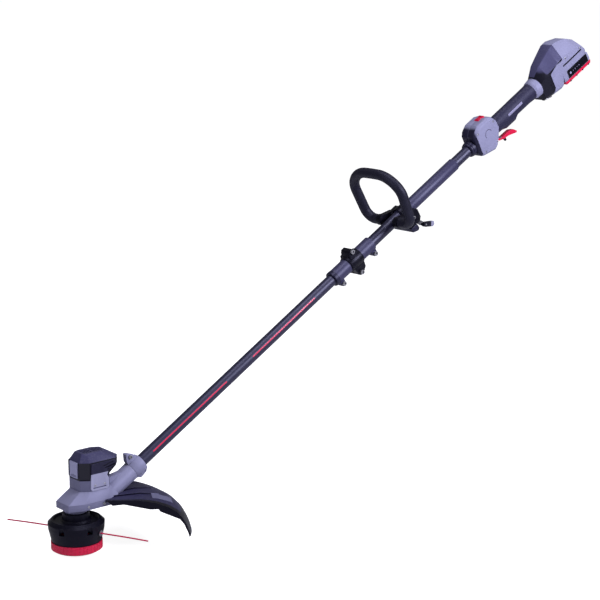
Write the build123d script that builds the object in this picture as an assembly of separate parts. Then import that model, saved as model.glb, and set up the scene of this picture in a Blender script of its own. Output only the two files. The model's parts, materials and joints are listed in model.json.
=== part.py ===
from build123d import *
import os
from math import acos, cos, pi, radians, sin, sqrt, tan

# Cordless string trimmer. Millimetres, +Z up. The origin is the middle of the tap knob's flat
# bottom face, on the spool's axis. The shaft rises towards +X, where the operator stands.
# Places on the shaft are given as (s, y, p): s along the shaft's axis from the spool's axis,
# y across it, p square to it and upwards.

# ---- driving dimensions -----------------------------------------------------------------
SHAFT_ANGLE = 30.9          # shaft above the horizontal, degrees
SHAFT_HEIGHT = 60.0         # where the shaft's axis meets the spool's axis
TUBE_R = 13.0               # both tubes, outside
TUBE_WALL = 1.5
SLEEVE_R = 15.0             # plastic sleeve over the upper tube
COUPLER_R = 17.0
SOCKET_GAP = 0.05           # running gap between the lower tube and the coupler
BODY_GAP = 0.3              # gap between neighbouring moving bodies
LINE_R = 1.5                # cutting line
CABLE_R = 3.0
LINE_TIP_RADIUS = 162.0
LINE_AZIMUTH = -63.7        # the near tail, seen from above
LINE_HEIGHT = 45.3          # where the line leaves the housing
COVER_R = 51.5              # spool cover
COVER_BOTTOM = 6.0
COVER_TOP = 25.0
GEAR_MODULE = 1.0
PINION_TEETH = 14
GEAR_TEETH = 48
GUARD_SPREAD = 44.0         # half of the guard's angle
GUARD_WALL = 2.8
LOOP_TUBE_R = 11.6          # loop handle's tube
HOUSING_HALF = 38.0         # rear housing, half of its width

MOTOR_X = GEAR_MODULE * (PINION_TEETH + GEAR_TEETH) / 2

# ---- stations along the shaft -----------------------------------------------------------
TUBE_FOOT = 100.0
NECK_CLAMP = (156.0, 184.0)
COUPLER = (799.0, 921.0)
CLAMP = (838.0, 884.0)
JOINT_STATION = 858.0       # the lower tube ends here, inside the coupler
SLEEVE = (1023.0, 1225.0)
LOOP_STATION = 995.0
CLAMP_BLOCK = (1019.0, 1056.0)
GRIP = (1362.0, 1520.0)
BATTERY = (1604.0, 1704.0)
UPPER_TUBE_END = 1560.0

SHAFT = Location((0, 0, SHAFT_HEIGHT), (0, -SHAFT_ANGLE, 0))


# ---- helpers ----------------------------------------------------------------------------
def side_slab(points, half=None, low=None, high=None):
    """A plate with its outline in X and Z, spread across Y."""
    low = -half if low is None else low
    high = half if high is None else high
    outline = Plane.XZ.offset(-high) * Polygon(*points, align=None)
    return extrude(outline, amount=high - low, dir=(0, -1, 0))


def plan_slab(points, low, high):
    """A plate with its outline in X and Y, standing from low to high."""
    outline = Plane.XY.offset(low) * Polygon(*points, align=None)
    return extrude(outline, amount=high - low, dir=(0, 0, 1))


def turned(points):
    """A solid of revolution about Z, from an outline in radius and height."""
    return revolve(Plane.XZ * Polygon(*points, align=None), axis=Axis.Z)


def rod(radius, low, high):
    return Pos(0, 0, low) * Cylinder(radius, high - low, align=(Align.CENTER, Align.CENTER, Align.MIN))


def ring(outer, inner, low, high):
    return rod(outer, low, high) - rod(inner, low - 1, high + 1)


def along(shape):
    """Turns a solid made about Z so that it runs along the shaft."""
    return Rot(0, 90, 0) * shape


def shaft_rod(radius, low, high):
    return along(rod(radius, low, high))


def shaft_ring(outer, inner, low, high):
    return along(ring(outer, inner, low, high))


def cross_rod(radius, s, p, low, high):
    """A rod across the shaft, along Y."""
    return Pos(s, high, p) * Rot(90, 0, 0) * rod(radius, 0, high - low)


def mirrored(points):
    """An outline given for -Y, closed by its mirror image on +Y."""
    return list(points) + [(x, -y) for x, y in reversed(points)]


def both(shape):
    """The shape and its mirror image across the shaft's plane."""
    return shape + mirror(shape, Plane.XZ)


def group(shapes):
    return Compound(children=list(shapes))


def box(x0, x1, y0, y1, z0, z1):
    return Pos((x0 + x1) / 2, (y0 + y1) / 2, (z0 + z1) / 2) * Box(x1 - x0, y1 - y0, z1 - z0)


def hex_rod(across_flats, low, high):
    outline = Plane.XY.offset(low) * RegularPolygon(across_flats / 2, 6, major_radius=False)
    return extrude(outline, amount=high - low)


def screw(head_r, head_h, shank_r, length):
    """A socket-head screw, its head on z = 0 and its shank downwards."""
    body = rod(head_r, 0, head_h) + rod(shank_r, -length, 0)
    return body - hex_rod(head_r, head_h / 2, head_h + 1)


# ---- cutting head -----------------------------------------------------------------------
def make_tap_knob():
    """The knob that feeds line when it is tapped on the ground; its flat face is the origin."""
    shell = turned([(0, 0), (20, 0), (23, 1.5), (24, 4.5), (24, 12), (21.5, 12), (21.5, 4), (0, 4)])
    return shell - ring(17, 14, -1, 1.2)


def make_spool_cover():
    shell = turned([(25, 6), (46, 6), (COVER_R, 9.5), (COVER_R, COVER_TOP), (48.8, COVER_TOP),
                    (48.8, 9.5), (25, 9.5)])
    count = 40
    groove = Pos(COVER_R + 0.5, 0, COVER_BOTTOM) * Cylinder(1.2, 40)
    for i in range(count):
        shell -= Rot(0, 0, 360 * i / count) * groove
    return shell


def make_spool_housing():
    outer = [(50, COVER_TOP + 0.3), (56, 51), (57, 63), (50, 70), (46, 70), (43, 66.5), (31, 66.5),
             (28, 70), (27, 83), (5, 83)]
    inner = [(5, 34), (9, 34), (9, 22), (13.5, 22), (13.5, 61), (51, 61), (52.5, 51), (46.8, 27),
             (46.8, 17), (48.5, 17), (48.5, COVER_TOP + 0.3)]
    shell = turned(outer + inner)
    for side in (0, 180):
        exit_hole = rod(4.5, 0, 40) + rod(6.3, 24.85, 40)
        shell -= Rot(0, 0, LINE_AZIMUTH + side) * Pos(30, 0, LINE_HEIGHT) * Rot(0, 90, 0) * exit_hole
    scoop = Pos(60, 0, 61) * Rot(0, 20, 0) * Cylinder(6, 26)
    for i in range(6):
        shell -= Rot(0, 0, 60 * i + LINE_AZIMUTH + 30) * scoop
    return shell


SPOOL_FLOOR = 14.5          # the spool's lower flange, upper face


def make_line_spool():
    outline = [(15, 4), (18, 4), (18, SPOOL_FLOOR - 2), (45, SPOOL_FLOOR - 2), (45, SPOOL_FLOOR),
               (18, SPOOL_FLOOR), (18, 32.6), (44, 32.6), (44, 34.4), (18, 34.4), (18, 52.5),
               (45, 52.5), (45, 54.5), (15, 54.5)]
    return turned(outline)


def make_wound_line():
    return group([ring(38, 18, SPOOL_FLOOR, 32.6), ring(38, 18, 34.4, 52.5)])


def make_tap_spring():
    wire = 0.9
    path = Helix(pitch=3.3, height=16.0, radius=11.2)
    start = path @ 0
    section = Plane(origin=start, z_dir=path % 0) * Circle(wire)
    return Pos(0, 0, 5.0) * sweep(section, path=path)


def make_line_eyelets():
    eyelet = turned([(1.9, 0), (4.5, 0), (4.5, 6.4), (6.2, 7.2), (6.2, 8.6), (1.9, 8.6)])
    placed = Pos(48.5, 0, LINE_HEIGHT) * Rot(0, 90, 0) * eyelet
    return group([Rot(0, 0, LINE_AZIMUTH + side) * placed for side in (0, 180)])


TAIL_ROUTE = [(50.0, LINE_HEIGHT), (90.0, LINE_HEIGHT), (128.0, LINE_HEIGHT - 0.3),
              (LINE_TIP_RADIUS, LINE_HEIGHT - 1.2)]


def corner_radii(points):
    """The largest arc at each corner that leaves a tenth of its shorter run straight."""
    radii = []
    for before, corner, after in zip(points, points[1:], points[2:]):
        first = corner - before
        second = after - corner
        half_turn = radians(first.get_angle(second) / 2)
        radii.append(0.45 * min(first.length, second.length) / tan(half_turn))
    return radii


def round_tube(points, radius, name):
    """A round tube along straight runs joined by tangent arcs."""
    points = [Vector(*p) for p in points]
    radii = corner_radii(points)
    path = FilletPolyline(*points, radius=radii)
    section = Plane(origin=points[0], z_dir=points[1] - points[0]) * Circle(radius)
    tube = sweep(section, path=path)
    expected = pi * radius ** 2 * path.length
    print(name, "length", round(path.length, 1), "volume ratio", round(tube.volume / expected, 4),
          "radii", [round(r) for r in radii])
    return tube


def make_line_tail(azimuth):
    a = radians(azimuth)
    points = [(r * cos(a), r * sin(a), z) for r, z in TAIL_ROUTE]
    return round_tube(points, LINE_R, "line tail")


# ---- spindle, gears and motor -----------------------------------------------------------
def involute(angle):
    return tan(angle) - angle


def make_gear(teeth, bore, low, high, backlash):
    """A spur gear of 20 degree involute teeth, with thinned teeth for backlash."""
    pressure = radians(20)
    pitch_r = GEAR_MODULE * teeth / 2
    base_r = pitch_r * cos(pressure)
    tip_r = pitch_r + 0.9 * GEAR_MODULE
    root_r = pitch_r - 1.25 * GEAR_MODULE
    start_r = max(base_r, root_r)
    half_tooth = pi / (2 * teeth) - backlash / (2 * pitch_r) + involute(pressure)
    flank = []
    for step in range(4):
        r = start_r + (tip_r - start_r) * step / 3
        flank.append((r, half_tooth - involute(acos(base_r / r))))
    points = []
    for tooth in range(teeth):
        middle = 2 * pi * tooth / teeth
        left = [(root_r, flank[0][1])] + flank
        for r, half in left:
            points.append((r * cos(middle - half), r * sin(middle - half)))
        for r, half in reversed(left):
            points.append((r * cos(middle + half), r * sin(middle + half)))
    return plan_slab(points, low, high) - rod(bore, low - 1, high + 1)


def make_spool_gear():
    gear = make_gear(GEAR_TEETH, 5.0, 98.0, 104.5, 0.18)
    for i in range(5):
        gear -= Rot(0, 0, 72 * i) * Pos(14, 0, 101) * Cylinder(4.5, 20)
    return gear


def make_motor_pinion():
    # Half a tooth is turned away, so that a gap of the pinion faces a tooth of the gear.
    turn = 180 + 180 / PINION_TEETH
    return Pos(MOTOR_X, 0, 0) * Rot(0, 0, turn) * make_gear(PINION_TEETH, 2.5, 97.0, 105.0, 0.18)


def make_spindle():
    return rod(5, 24, 112.6) + ring(8, 5, 94.5, 98)


PLATE = (105.6, 112.0)       # the gear plate's two faces


def make_bearing(bore, outer, width):
    """A sealed ball bearing: two rings and a shield between them, in one solid."""
    step = (outer - bore) * 0.27
    return turned([(bore, 0), (bore + step, 0), (bore + step, 0.5), (outer - step, 0.5),
                   (outer - step, 0), (outer, 0), (outer, width), (outer - step, width),
                   (outer - step, width - 0.5), (bore + step, width - 0.5), (bore + step, width),
                   (bore, width)])


def make_spindle_bearings():
    lower = Pos(0, 0, 85.6) * make_bearing(5.05, 13, 8)
    upper = Pos(0, 0, PLATE[0]) * make_bearing(5.05, 11, PLATE[1] - PLATE[0])
    return group([lower, upper])


def make_gear_plate():
    """The plate over the gears: it carries the spindle's upper bearing and the motor."""
    plate = plan_slab(mirrored([(-13, -7), (-6, -18), (20, -24), (54, -24)]), *PLATE)
    plate += rod(14, *PLATE)
    plate -= rod(11, 100, 120)
    return plate - Pos(MOTOR_X, 0, 0) * rod(6.5, 100, 120)


def make_motor_rotor():
    """The motor's shaft, slotted core and commutator, with the fan on top."""
    body = rod(2.5, 96.5, 181) + rod(14.5, 121, 158) + rod(6, 160, 164.5)
    for i in range(12):
        body -= Rot(0, 0, 30 * i) * Pos(14.5, 0, 140) * Box(5, 1.6, 50)
    return Pos(MOTOR_X, 0, 0) * (body + cooling_fan())


def make_motor_can():
    low, high = PLATE[1], 168
    body = ring(21, 17.5, low, high) + ring(21, 2.6, low, low + 3) + ring(21, 2.6, high - 2.5, high)
    body += ring(6.5, 2.6, PLATE[0] + 0.4, low)
    for i in range(4):
        body -= Rot(0, 0, 90 * i + 45) * Pos(18, 0, low + 8) * Box(12, 7, 8)
    return Pos(MOTOR_X, 0, 0) * body


def cooling_fan():
    fan = rod(18, 170, 171.4) + rod(6, 170, 178)
    blade = Pos(12.5, 0, 174.2) * Rot(0, 0, 25) * Box(12, 1.4, 7)
    for i in range(9):
        fan += Rot(0, 0, 40 * i) * blade
    return fan


# ---- head shells ------------------------------------------------------------------------
BASE_LOW = 93.0
BASE_HIGH = 106.0
DECK_HIGH = 128.0
SHELL_WALL = 2.6


def base_outline(inset):
    return mirrored([(-31 + inset, -23 + inset * 0.6), (-1 + inset * 0.6, -36 + inset),
                     (60 - inset * 0.6, -36 + inset), (88 - inset, -24 + inset * 0.6)])


TOWER_FRONT = (-1.0, -19.0)     # the ends of the tower's front corner, on one side
TOWER_CORNER = (15.5, -31.0)


def foot_outline(inset):
    return mirrored([(TOWER_FRONT[0] + inset, TOWER_FRONT[1] + inset * 0.6),
                     (TOWER_CORNER[0] + inset * 0.6, TOWER_CORNER[1] + inset),
                     (60 - inset * 0.6, -31 + inset), (73 - inset, -14 + inset * 0.6)])


def crown_outline(inset):
    return mirrored([(TOWER_FRONT[0] + inset, TOWER_FRONT[1] + inset * 0.6),
                     (TOWER_CORNER[0] + inset * 0.6, TOWER_CORNER[1] + inset),
                     (78 - inset * 0.6, -31 + inset), (92.5 - inset, -13 + inset * 0.6)])


def roof_outline(inset):
    return mirrored([(9 + inset, -13 + inset * 0.6), (20 + inset * 0.6, -18 + inset),
                     (50 - inset * 0.6, -18 + inset), (65 - inset, -9 + inset * 0.6)])


def stack(sections):
    """A solid with flat facets between outlines at rising heights."""
    faces = [Plane.XY.offset(z) * Polygon(*outline, align=None) for outline, z in sections]
    return loft(faces, ruled=True)


def deck_solid(inset):
    return stack([(base_outline(inset), BASE_HIGH - inset * 0.2),
                  (foot_outline(inset), DECK_HIGH - inset)])


def neck_solid(radius, inset):
    """The shaft socket's outside: a barrel round the tube with a ridge that runs up to the motor."""
    end = NECK_CLAMP[0] - BODY_GAP - inset
    ridge = side_slab([(40, 10), (end, 10), (end, 17), (137, 17), (112, 27), (60, 60)], 7 - inset)
    return SHAFT * (shaft_rod(radius, 45, end) + ridge)


def tower_solid(inset):
    """The motor cover's body: upright, wider at the crown, with a roof sloping all round."""
    return stack([(foot_outline(inset), DECK_HIGH + BODY_GAP - inset),
                  (foot_outline(inset), 157 + inset * 0.4),
                  (crown_outline(inset), 171.5 + inset * 0.4),
                  (crown_outline(inset), 187 - inset * 0.5),
                  (roof_outline(inset), 203 - inset)])


def make_head_base():
    """The lower shell: a tray with the spindle's bearing boss below and posts for the gear plate."""
    tray = plan_slab(base_outline(0), BASE_LOW, BASE_HIGH)
    tray -= plan_slab(base_outline(SHELL_WALL), BASE_LOW + 3, BASE_HIGH + 1)
    boss = [(26, BASE_LOW + 0.5), (26, 88), (23, 84.6), (9, 84.6), (9, 85.6), (13, 85.6)]
    tray += turned(boss + [(13, BASE_LOW + 0.5)])
    tray -= rod(13, 85.6, BASE_LOW + 5)
    for x in (30, 50):
        post = Pos(x, -20, 0) * rod(3, BASE_LOW + 2, PLATE[0])
        tray += both(post)
    return tray - SHAFT * shaft_rod(TUBE_R, 60, 200)


def make_head_cover():
    """The upper shell over the gears, with the neck that holds the tube."""
    shell = deck_solid(0) + neck_solid(19, 0) - deck_solid(SHELL_WALL)
    shell -= plan_slab(base_outline(-20), 40, BASE_HIGH + BODY_GAP)
    shell -= plan_slab(foot_outline(SHELL_WALL + 3), 118, 150)
    shell -= plan_slab(foot_outline(-0.3), DECK_HIGH, 240)
    shell -= SHAFT * shaft_rod(TUBE_R, TUBE_FOOT, 220)
    return shell - SHAFT * shaft_rod(9, 60, 220)


def top_vents():
    """Slots through the motor cover's roof, in two groups."""
    slots = []
    for group_x in (17, 40):
        for i in range(4):
            slots.append(box(group_x + 5 * i, group_x + 5 * i + 2.4, -11, 11, 196, 210))
    return group(slots)


GRILLE = (154.0, 187.0)
PANEL_FACE = 31.0           # the motor cover's sides
PANEL_OUTLINE = [(19, 184), (74, 185), (77, 177), (59, 165), (55, 157), (59, 149), (59, 131),
                 (57, 128.8), (20, 128.8), (16, 134)]


def make_motor_cover():
    shell = tower_solid(0) - tower_solid(SHELL_WALL)
    shell -= top_vents()
    shell -= box(-5, 6, -14, 14, *GRILLE)
    return shell


def make_vent_panel():
    """A light panel on the side of the motor cover, with its louvre slots."""
    plate = side_slab(PANEL_OUTLINE, low=-PANEL_FACE - 1.8, high=-PANEL_FACE)
    plate -= box(22, 52, -40, -20, 133, 135.5)
    for i in range(3):
        plate -= Pos(58 + 4 * i, -32, 178 - 4.5 * i) * Rot(0, -12, 0) * Box(26 - 3 * i, 10, 2)
    return plate


def make_vent_panels():
    panel = make_vent_panel()
    return group([panel, mirror(panel, Plane.XZ)])


def make_front_grille():
    """The raised panel on the motor cover's front, with two intake slits along its foot."""
    plate = box(-3.0, 0.8, -13.7, 13.7, GRILLE[0] + 0.3, GRILLE[1] - 0.3)
    for i in range(2):
        plate -= box(-4, 3, -10, 10, GRILLE[0] + 2.6 + 2.6 * i, GRILLE[0] + 3.8 + 2.6 * i)
    return plate


def make_corner_panels():
    """Glossy panels on the two front corners, level with the grille."""
    run_x = TOWER_CORNER[0] - TOWER_FRONT[0]
    run_y = TOWER_CORNER[1] - TOWER_FRONT[1]
    length = sqrt(run_x ** 2 + run_y ** 2)
    thick = 1.4
    out_x = run_y / length * thick
    out_y = -run_x / length * thick
    inner = [TOWER_FRONT, TOWER_CORNER]
    outline = inner + [(x + out_x, y + out_y) for x, y in reversed(inner)]
    panel = plan_slab(outline, *GRILLE)
    return group([panel, mirror(panel, Plane.XZ)])


def make_neck_clamp():
    """The split collar that grips the tube, with its bolt lug on top and a foot below."""
    low, high = NECK_CLAMP
    body = shaft_rod(19.5, low, high)
    body += side_slab([(low, 0), (low, 26), (low + 7, 40), (low + 11, 39), (low + 23, 25),
                       (low + 24, 14), (low + 24, 0)], 6)
    body += side_slab([(low + 1, 0), (low + 1, -16), (low + 8, -24), (high - 3, -21.5),
                       (high + 1, -16), (high, 0)], 9)
    body -= shaft_rod(TUBE_R, low - 5, high + 10)
    body -= box(low - 1, high + 1, -1.2, 1.2, 0, 60)
    body -= cross_rod(2.6, low + 12, 30, -40, 40)
    return SHAFT * body





# ---- guard ------------------------------------------------------------------------------
GUARD_PROFILE = [(62, 107), (130, 108), (163, 103.5), (188, 95), (204, 85), (215, 73), (222, 60),
                 (227, 48), (230, 37)]
GUARD_EDGE = [(74, 96), (97, 99), (150, 90), (166, 91), (170, 86), (209, 71), (217, 61), (226, 40)]


def wedge(radius, low, high, spread):
    """A slice of a drum about Z, open by the spread on both sides of +X."""
    reach = radius / cos(radians(spread))
    corner = (radius, -radius * tan(radians(spread)))
    return plan_slab([(0, 0), corner, (reach * 1.5, 0), (corner[0], -corner[1])], low, high)


def make_guard():
    inner = [(r - GUARD_WALL, z - GUARD_WALL) for r, z in GUARD_PROFILE]
    dome = turned(GUARD_PROFILE + list(reversed(inner)))
    dome &= wedge(260, 0, 200, GUARD_SPREAD)
    rim_cut = side_slab([(150, -10), (260, -10), (260, 64), (226, 64), (190, 40)], 120)
    dome -= rim_cut & wedge(300, -20, 200, GUARD_SPREAD - 12)
    wall = side_slab(GUARD_PROFILE + list(reversed(GUARD_EDGE)), low=0, high=GUARD_WALL)
    guard = dome + both(Rot(0, 0, -GUARD_SPREAD) * wall)
    rib = side_slab([(66, 104), (66, 109.2), (130, 110.2), (168, 103.4), (168, 98), (130, 104)], 1.4)
    for angle in (-24, -8, 8, 24):
        guard += Rot(0, 0, angle) * rib
    guard -= SHAFT * shaft_rod(21, 60, 220)
    return guard - plan_slab(base_outline(-BODY_GAP), 80, 130)


def make_cutter_blade():
    """The steel blade that trims the line, inside the guard's far corner."""
    blade = side_slab([(198, 44), (221, 42), (217, 56), (211, 66), (200, 68)], low=-GUARD_WALL - 1.6,
                      high=-GUARD_WALL)
    for x, z in ((205, 61), (212, 56)):
        blade -= Pos(x, 0, z) * Rot(90, 0, 0) * Cylinder(1.6, 20)
    return Rot(0, 0, GUARD_SPREAD) * blade


# ---- shaft ------------------------------------------------------------------------------
def make_lower_tube():
    return SHAFT * shaft_ring(TUBE_R, TUBE_R - TUBE_WALL, TUBE_FOOT, JOINT_STATION)


def make_upper_tube():
    inner = TUBE_R - TUBE_WALL
    return SHAFT * shaft_ring(TUBE_R, inner, JOINT_STATION + 0.5, UPPER_TUBE_END)


def make_lower_plug():
    """The electrical plug fixed in the end of the lower tube."""
    plug = shaft_rod(TUBE_R - TUBE_WALL, JOINT_STATION - 26, JOINT_STATION - 2)
    for y in (-4, 0, 4):
        plug += Pos(0, y, 0) * shaft_rod(1.1, JOINT_STATION - 2, JOINT_STATION + 10)
    return SHAFT * plug


def make_upper_socket():
    """The socket in the end of the upper tube, which the plug's pins enter."""
    low = JOINT_STATION + 0.5
    socket = shaft_rod(TUBE_R - TUBE_WALL, low, low + 26)
    for y in (-4, 0, 4):
        socket -= Pos(0, y, 0) * shaft_rod(1.5, low - 1, low + 12)
    return SHAFT * socket


def make_lower_cable():
    route = [(61, 0, 158), (61, 0, 124), (70, 0, 107), shaft_point(112), shaft_point(150)]
    bend = round_tube(route, CABLE_R, "lower cable")
    return bend + SHAFT * shaft_rod(CABLE_R, 150, JOINT_STATION - 26)


def shaft_point(s, p=0.0):
    a = radians(SHAFT_ANGLE)
    return (s * cos(a) - p * sin(a), 0, SHAFT_HEIGHT + s * sin(a) + p * cos(a))


def make_upper_cable():
    return SHAFT * shaft_rod(CABLE_R, JOINT_STATION + 26.5, 1600)


LUG_STATIONS = (COUPLER[0] + 6.5, COUPLER[1] - 6.5)
LUG_DEPTH = -21.0
CLAMP_BOLT = (CLAMP[0] + 21, 27.0)
CAM_PIVOT = (CLAMP[0] + 21, -30.0)


def make_coupler_sleeve():
    low, high = COUPLER
    body = shaft_ring(COUPLER_R, TUBE_R + SOCKET_GAP, low, high)
    for s in LUG_STATIONS:
        lug = cross_rod(6.5, s, LUG_DEPTH, -11, 11) + box(s - 6.5, s + 6.5, -11, 11, LUG_DEPTH, -12)
        body += lug - shaft_rod(TUBE_R + SOCKET_GAP, low - 5, high + 5)
        body -= cross_rod(2.6, s, LUG_DEPTH, -20, 20)
    body -= box(low - 1, low + 40, -1, 1, -40, -5)
    body -= box(high - 40, high + 1, -1, 1, -40, -5)
    return SHAFT * body


def make_coupler_end_ring():
    high = COUPLER[0] - 0.1
    low = high - 10
    bore = TUBE_R + 0.35
    return SHAFT * along(turned([(bore, low), (16.8, low), (17.8, low + 1.5), (17.8, high), (bore, high)]))


def make_coupler_bolts():
    bolts = [Pos(s, -11, LUG_DEPTH) * Rot(90, 0, 0) * screw(5.2, 4.5, 2.5, 22) for s in LUG_STATIONS]
    bolts.append(Pos(CLAMP_BOLT[0], -14, CLAMP_BOLT[1]) * Rot(90, 0, 0) * screw(5.2, 4.5, 2.5, 28))
    bolts.append(Pos(CAM_PIVOT[0], -14, CAM_PIVOT[1]) * Rot(90, 0, 0) * screw(5.2, 4.5, 3, 40))
    return SHAFT * group(bolts)


def make_coupler_clamp():
    """The black collar over the middle of the coupler, with lugs above and below."""
    low, high = CLAMP
    body = shaft_ring(19.5, COUPLER_R, low + 2, high - 6)
    body += side_slab([(low + 8, 12), (low + 12, 27), (low + 16, 31.5), (low + 25, 31.5),
                       (low + 28, 27), (low + 30, 12)], 14)
    body += side_slab([(low + 8, -12), (low + 11, -30), (low + 16, -35.5), (low + 26, -35.5),
                       (high - 8, -26), (high - 6, -12)], 14)
    body -= shaft_rod(COUPLER_R, low - 5, high + 5)
    body -= box(low - 1, high + 1, -1.5, 1.5, -60, -5)
    body -= cross_rod(3.05, *CAM_PIVOT, -40, 40)
    body -= cross_rod(2.6, *CLAMP_BOLT, -40, 40)
    return SHAFT * body


def make_clamp_lever():
    """The cam lever of the quick clamp, folded up along the far side."""
    s, p = CAM_PIVOT
    cam = cross_rod(7.5, s, p, 15.3, 25)
    arm = side_slab([(s - 7, p), (s + 7, p), (s + 2, 8), (s - 2, 15), (s - 8, 14), (s - 10, 4)],
                    low=20, high=25)
    return SHAFT * (cam + arm - cross_rod(3.05, s, p, 0, 60))


def make_handle_sleeve():
    low, high = SLEEVE
    return SHAFT * along(turned([(TUBE_R, low), (SLEEVE_R - 0.8, low), (SLEEVE_R, low + 1.5),
                                 (SLEEVE_R, high - 1.5), (SLEEVE_R - 0.8, high), (TUBE_R, high)]))


# ---- loop handle ------------------------------------------------------------------------
LOOP_HALF_WIDTH = 76.0
LOOP_TOP = 133.0
LOOP_BOTTOM = 7.0
LOOP_ENDS = 26.0


def loop_path():
    """The right half and the left half of the loop, from end to end across the top."""
    w, top, low = LOOP_HALF_WIDTH, LOOP_TOP, LOOP_BOTTOM
    half = [(LOOP_ENDS, low), (w * 0.93, low), (w * 1.03, top - 36), (w * 0.62, top - 1), (0, top)]
    outline = [(y, p) for y, p in half] + [(-y, p) for y, p in reversed(half[:-1])]
    points = [Vector(LOOP_STATION + 0.07 * p, y, p) for y, p in outline]
    return points, [26, 40, 62, 300, 62, 40, 26]


def make_loop_tube():
    points, radii = loop_path()
    path = FilletPolyline(*points, radius=radii)
    section = Plane(origin=points[0], z_dir=points[1] - points[0]) * Circle(LOOP_TUBE_R)
    tube = sweep(section, path=path)
    print("loop", round(tube.volume / (pi * LOOP_TUBE_R ** 2 * path.length), 4))
    return SHAFT * tube


def make_handle_clamp():
    """The block under the sleeve, its band over the sleeve, and the sockets of the loop's ends."""
    low, high = CLAMP_BLOCK
    body = side_slab([(low, -26), (high - 6, -27), (high, -20), (high, 0), (high - 8, 8), (low, 8)], 31)
    body += shaft_rod(18, low + 4, high - 6)
    station = LOOP_STATION + 0.07 * LOOP_BOTTOM
    arm = side_slab([(station, -6), (station, LOOP_BOTTOM + 12), (low + 12, 8), (low + 12, -20),
                     (low - 8, -18)], low=-34, high=-20)
    body += both(arm + cross_rod(LOOP_TUBE_R + 1.2, station, LOOP_BOTTOM, -34, -20))
    body -= shaft_rod(SLEEVE_R, low - 60, high + 10)
    body -= box(low - 1, high + 1, -1.2, 1.2, 0, 60)
    socket = cross_rod(LOOP_TUBE_R, station, LOOP_BOTTOM, -60, -LOOP_ENDS)
    return SHAFT * (body - both(socket))


LEVER_PIVOT = (1049.0, -36.0)


def make_handle_jaw():
    """The cross bar under the block."""
    return SHAFT * side_slab([(1017, -27.2), (1038, -27.8), (1040, -40), (1034, -44), (1019, -39)], 32)


def make_handle_lever():
    """The cam lever that locks the loop handle on the sleeve, on the block's cross pin."""
    s, p = LEVER_PIVOT
    pivot = cross_rod(5.6, s, p, -46, -36.3)
    arm = side_slab([(s - 4, p - 4), (s + 3, p + 4.6), (s + 24, p - 8), (s + 22, p - 15), (s + 16, p - 17)],
                    low=-46, high=-37)
    return SHAFT * (pivot + arm - cross_rod(2.05, s, p, -60, 60))


def make_handle_pin():
    """The cam lever's cross pin, with the ears that carry it under the block."""
    s, p = LEVER_PIVOT
    ear = side_slab([(s - 8, -27.2), (s + 1, -27.2), (s + 5.5, p), (s, p - 5.5), (s - 5.5, p)], low=-36, high=-28)
    return SHAFT * (both(ear) + cross_rod(2.0, s, p, -47, 36))


# ---- controls ---------------------------------------------------------------------------
CONTROL_SIDE = [(1290, -18), (1294, -25), (1302, -29), (1340, -38), (1351, -33), (1363, -18),
                (1375, 2), (1373, 22), (1363, 38), (1347, 45), (1315, 45), (1301, 38), (1292, 28)]
CONTROL_HALF = 25.0
CONTROL_WALL = 2.6
ROCKER_PIVOT = (1345.0, 38.5)
ROCKER_HALF = 11.0
TRIGGER_PIVOT = (1366.0, -22.0)
LOCK_PIVOT = (1391.0, -40.0)


def control_solid(inset):
    """The control housing's outside, or its hollow when there is an inset."""
    outline = offset(Polygon(*CONTROL_SIDE, align=None), amount=-inset, kind=Kind.INTERSECTION)
    half = CONTROL_HALF - inset
    block = extrude(Plane.XZ.offset(-half) * outline, amount=2 * half, dir=(0, -1, 0))
    return chamfer(block.edges().filter_by(Axis.Y, reverse=True), max(6 - inset * 1.2, 2))


def make_control_shell(side):
    """One half of the control housing, hollow, split on the shaft's plane."""
    s, p = ROCKER_PIVOT
    reach = ROCKER_HALF + 0.5
    shell = control_solid(0) - control_solid(CONTROL_WALL)
    shell -= shaft_rod(TUBE_R, 1200, 1500)
    shell -= box(s - reach, s + reach, -7.5, 7.5, p - 3, 60)
    shell -= box(1352, 1400, -6.5, 6.5, -60, -8)
    low, high = (-60, -0.05) if side < 0 else (0.05, 60)
    return SHAFT * (shell & box(1200, 1500, low, high, -100, 100))


def make_nose_collar():
    return SHAFT * along(turned([(TUBE_R, 1276), (16.5, 1276), (17.5, 1277.5), (17.5, 1281), (18.8, 1282),
                                 (18.8, 1289.7), (TUBE_R, 1289.7)]))


def make_rocker():
    """The speed switch in the housing's top, rocking on its middle."""
    s, p = ROCKER_PIVOT
    cap = side_slab([(s - ROCKER_HALF, p - 1), (s, p - 4), (s + ROCKER_HALF, p - 1),
                     (s + ROCKER_HALF, p + 6.5), (s + 6, p + 7.5), (s, p + 6.3), (s - 6, p + 7.5),
                     (s - ROCKER_HALF, p + 6.5)], 7)
    return SHAFT * (cap - cross_rod(2.05, s, p, -20, 20))


def make_trigger():
    """The squeeze trigger, slotted for the lock that hinges on a pin across it."""
    s, p = TRIGGER_PIVOT
    blade = side_slab([(s - 7, p - 5), (s - 7, p + 4), (s + 3, p + 7), (s + 11, p - 9), (1384, -35),
                       (1414, -36), (1425, -41.5), (1433, -51), (1430.5, -54.5), (1420, -50.5),
                       (1402, -44.5), (1388, -43), (s + 8, p - 16), (s, p - 12)], 5.5)
    x, z = LOCK_PIVOT
    blade -= box(x - 6, x + 9, -2.6, 2.6, -60, z + 3)
    blade -= cross_rod(2.05, s, p, -20, 20)
    return SHAFT * (blade + cross_rod(1.2, x, z, -5.5, 5.5))


def make_control_pins():
    """The hinge pins of the trigger and the speed switch."""
    reach = CONTROL_HALF - CONTROL_WALL
    return SHAFT * group([cross_rod(2.0, *TRIGGER_PIVOT, -reach, reach),
                          cross_rod(2.0, *ROCKER_PIVOT, -reach + 3, reach - 3)])


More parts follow.
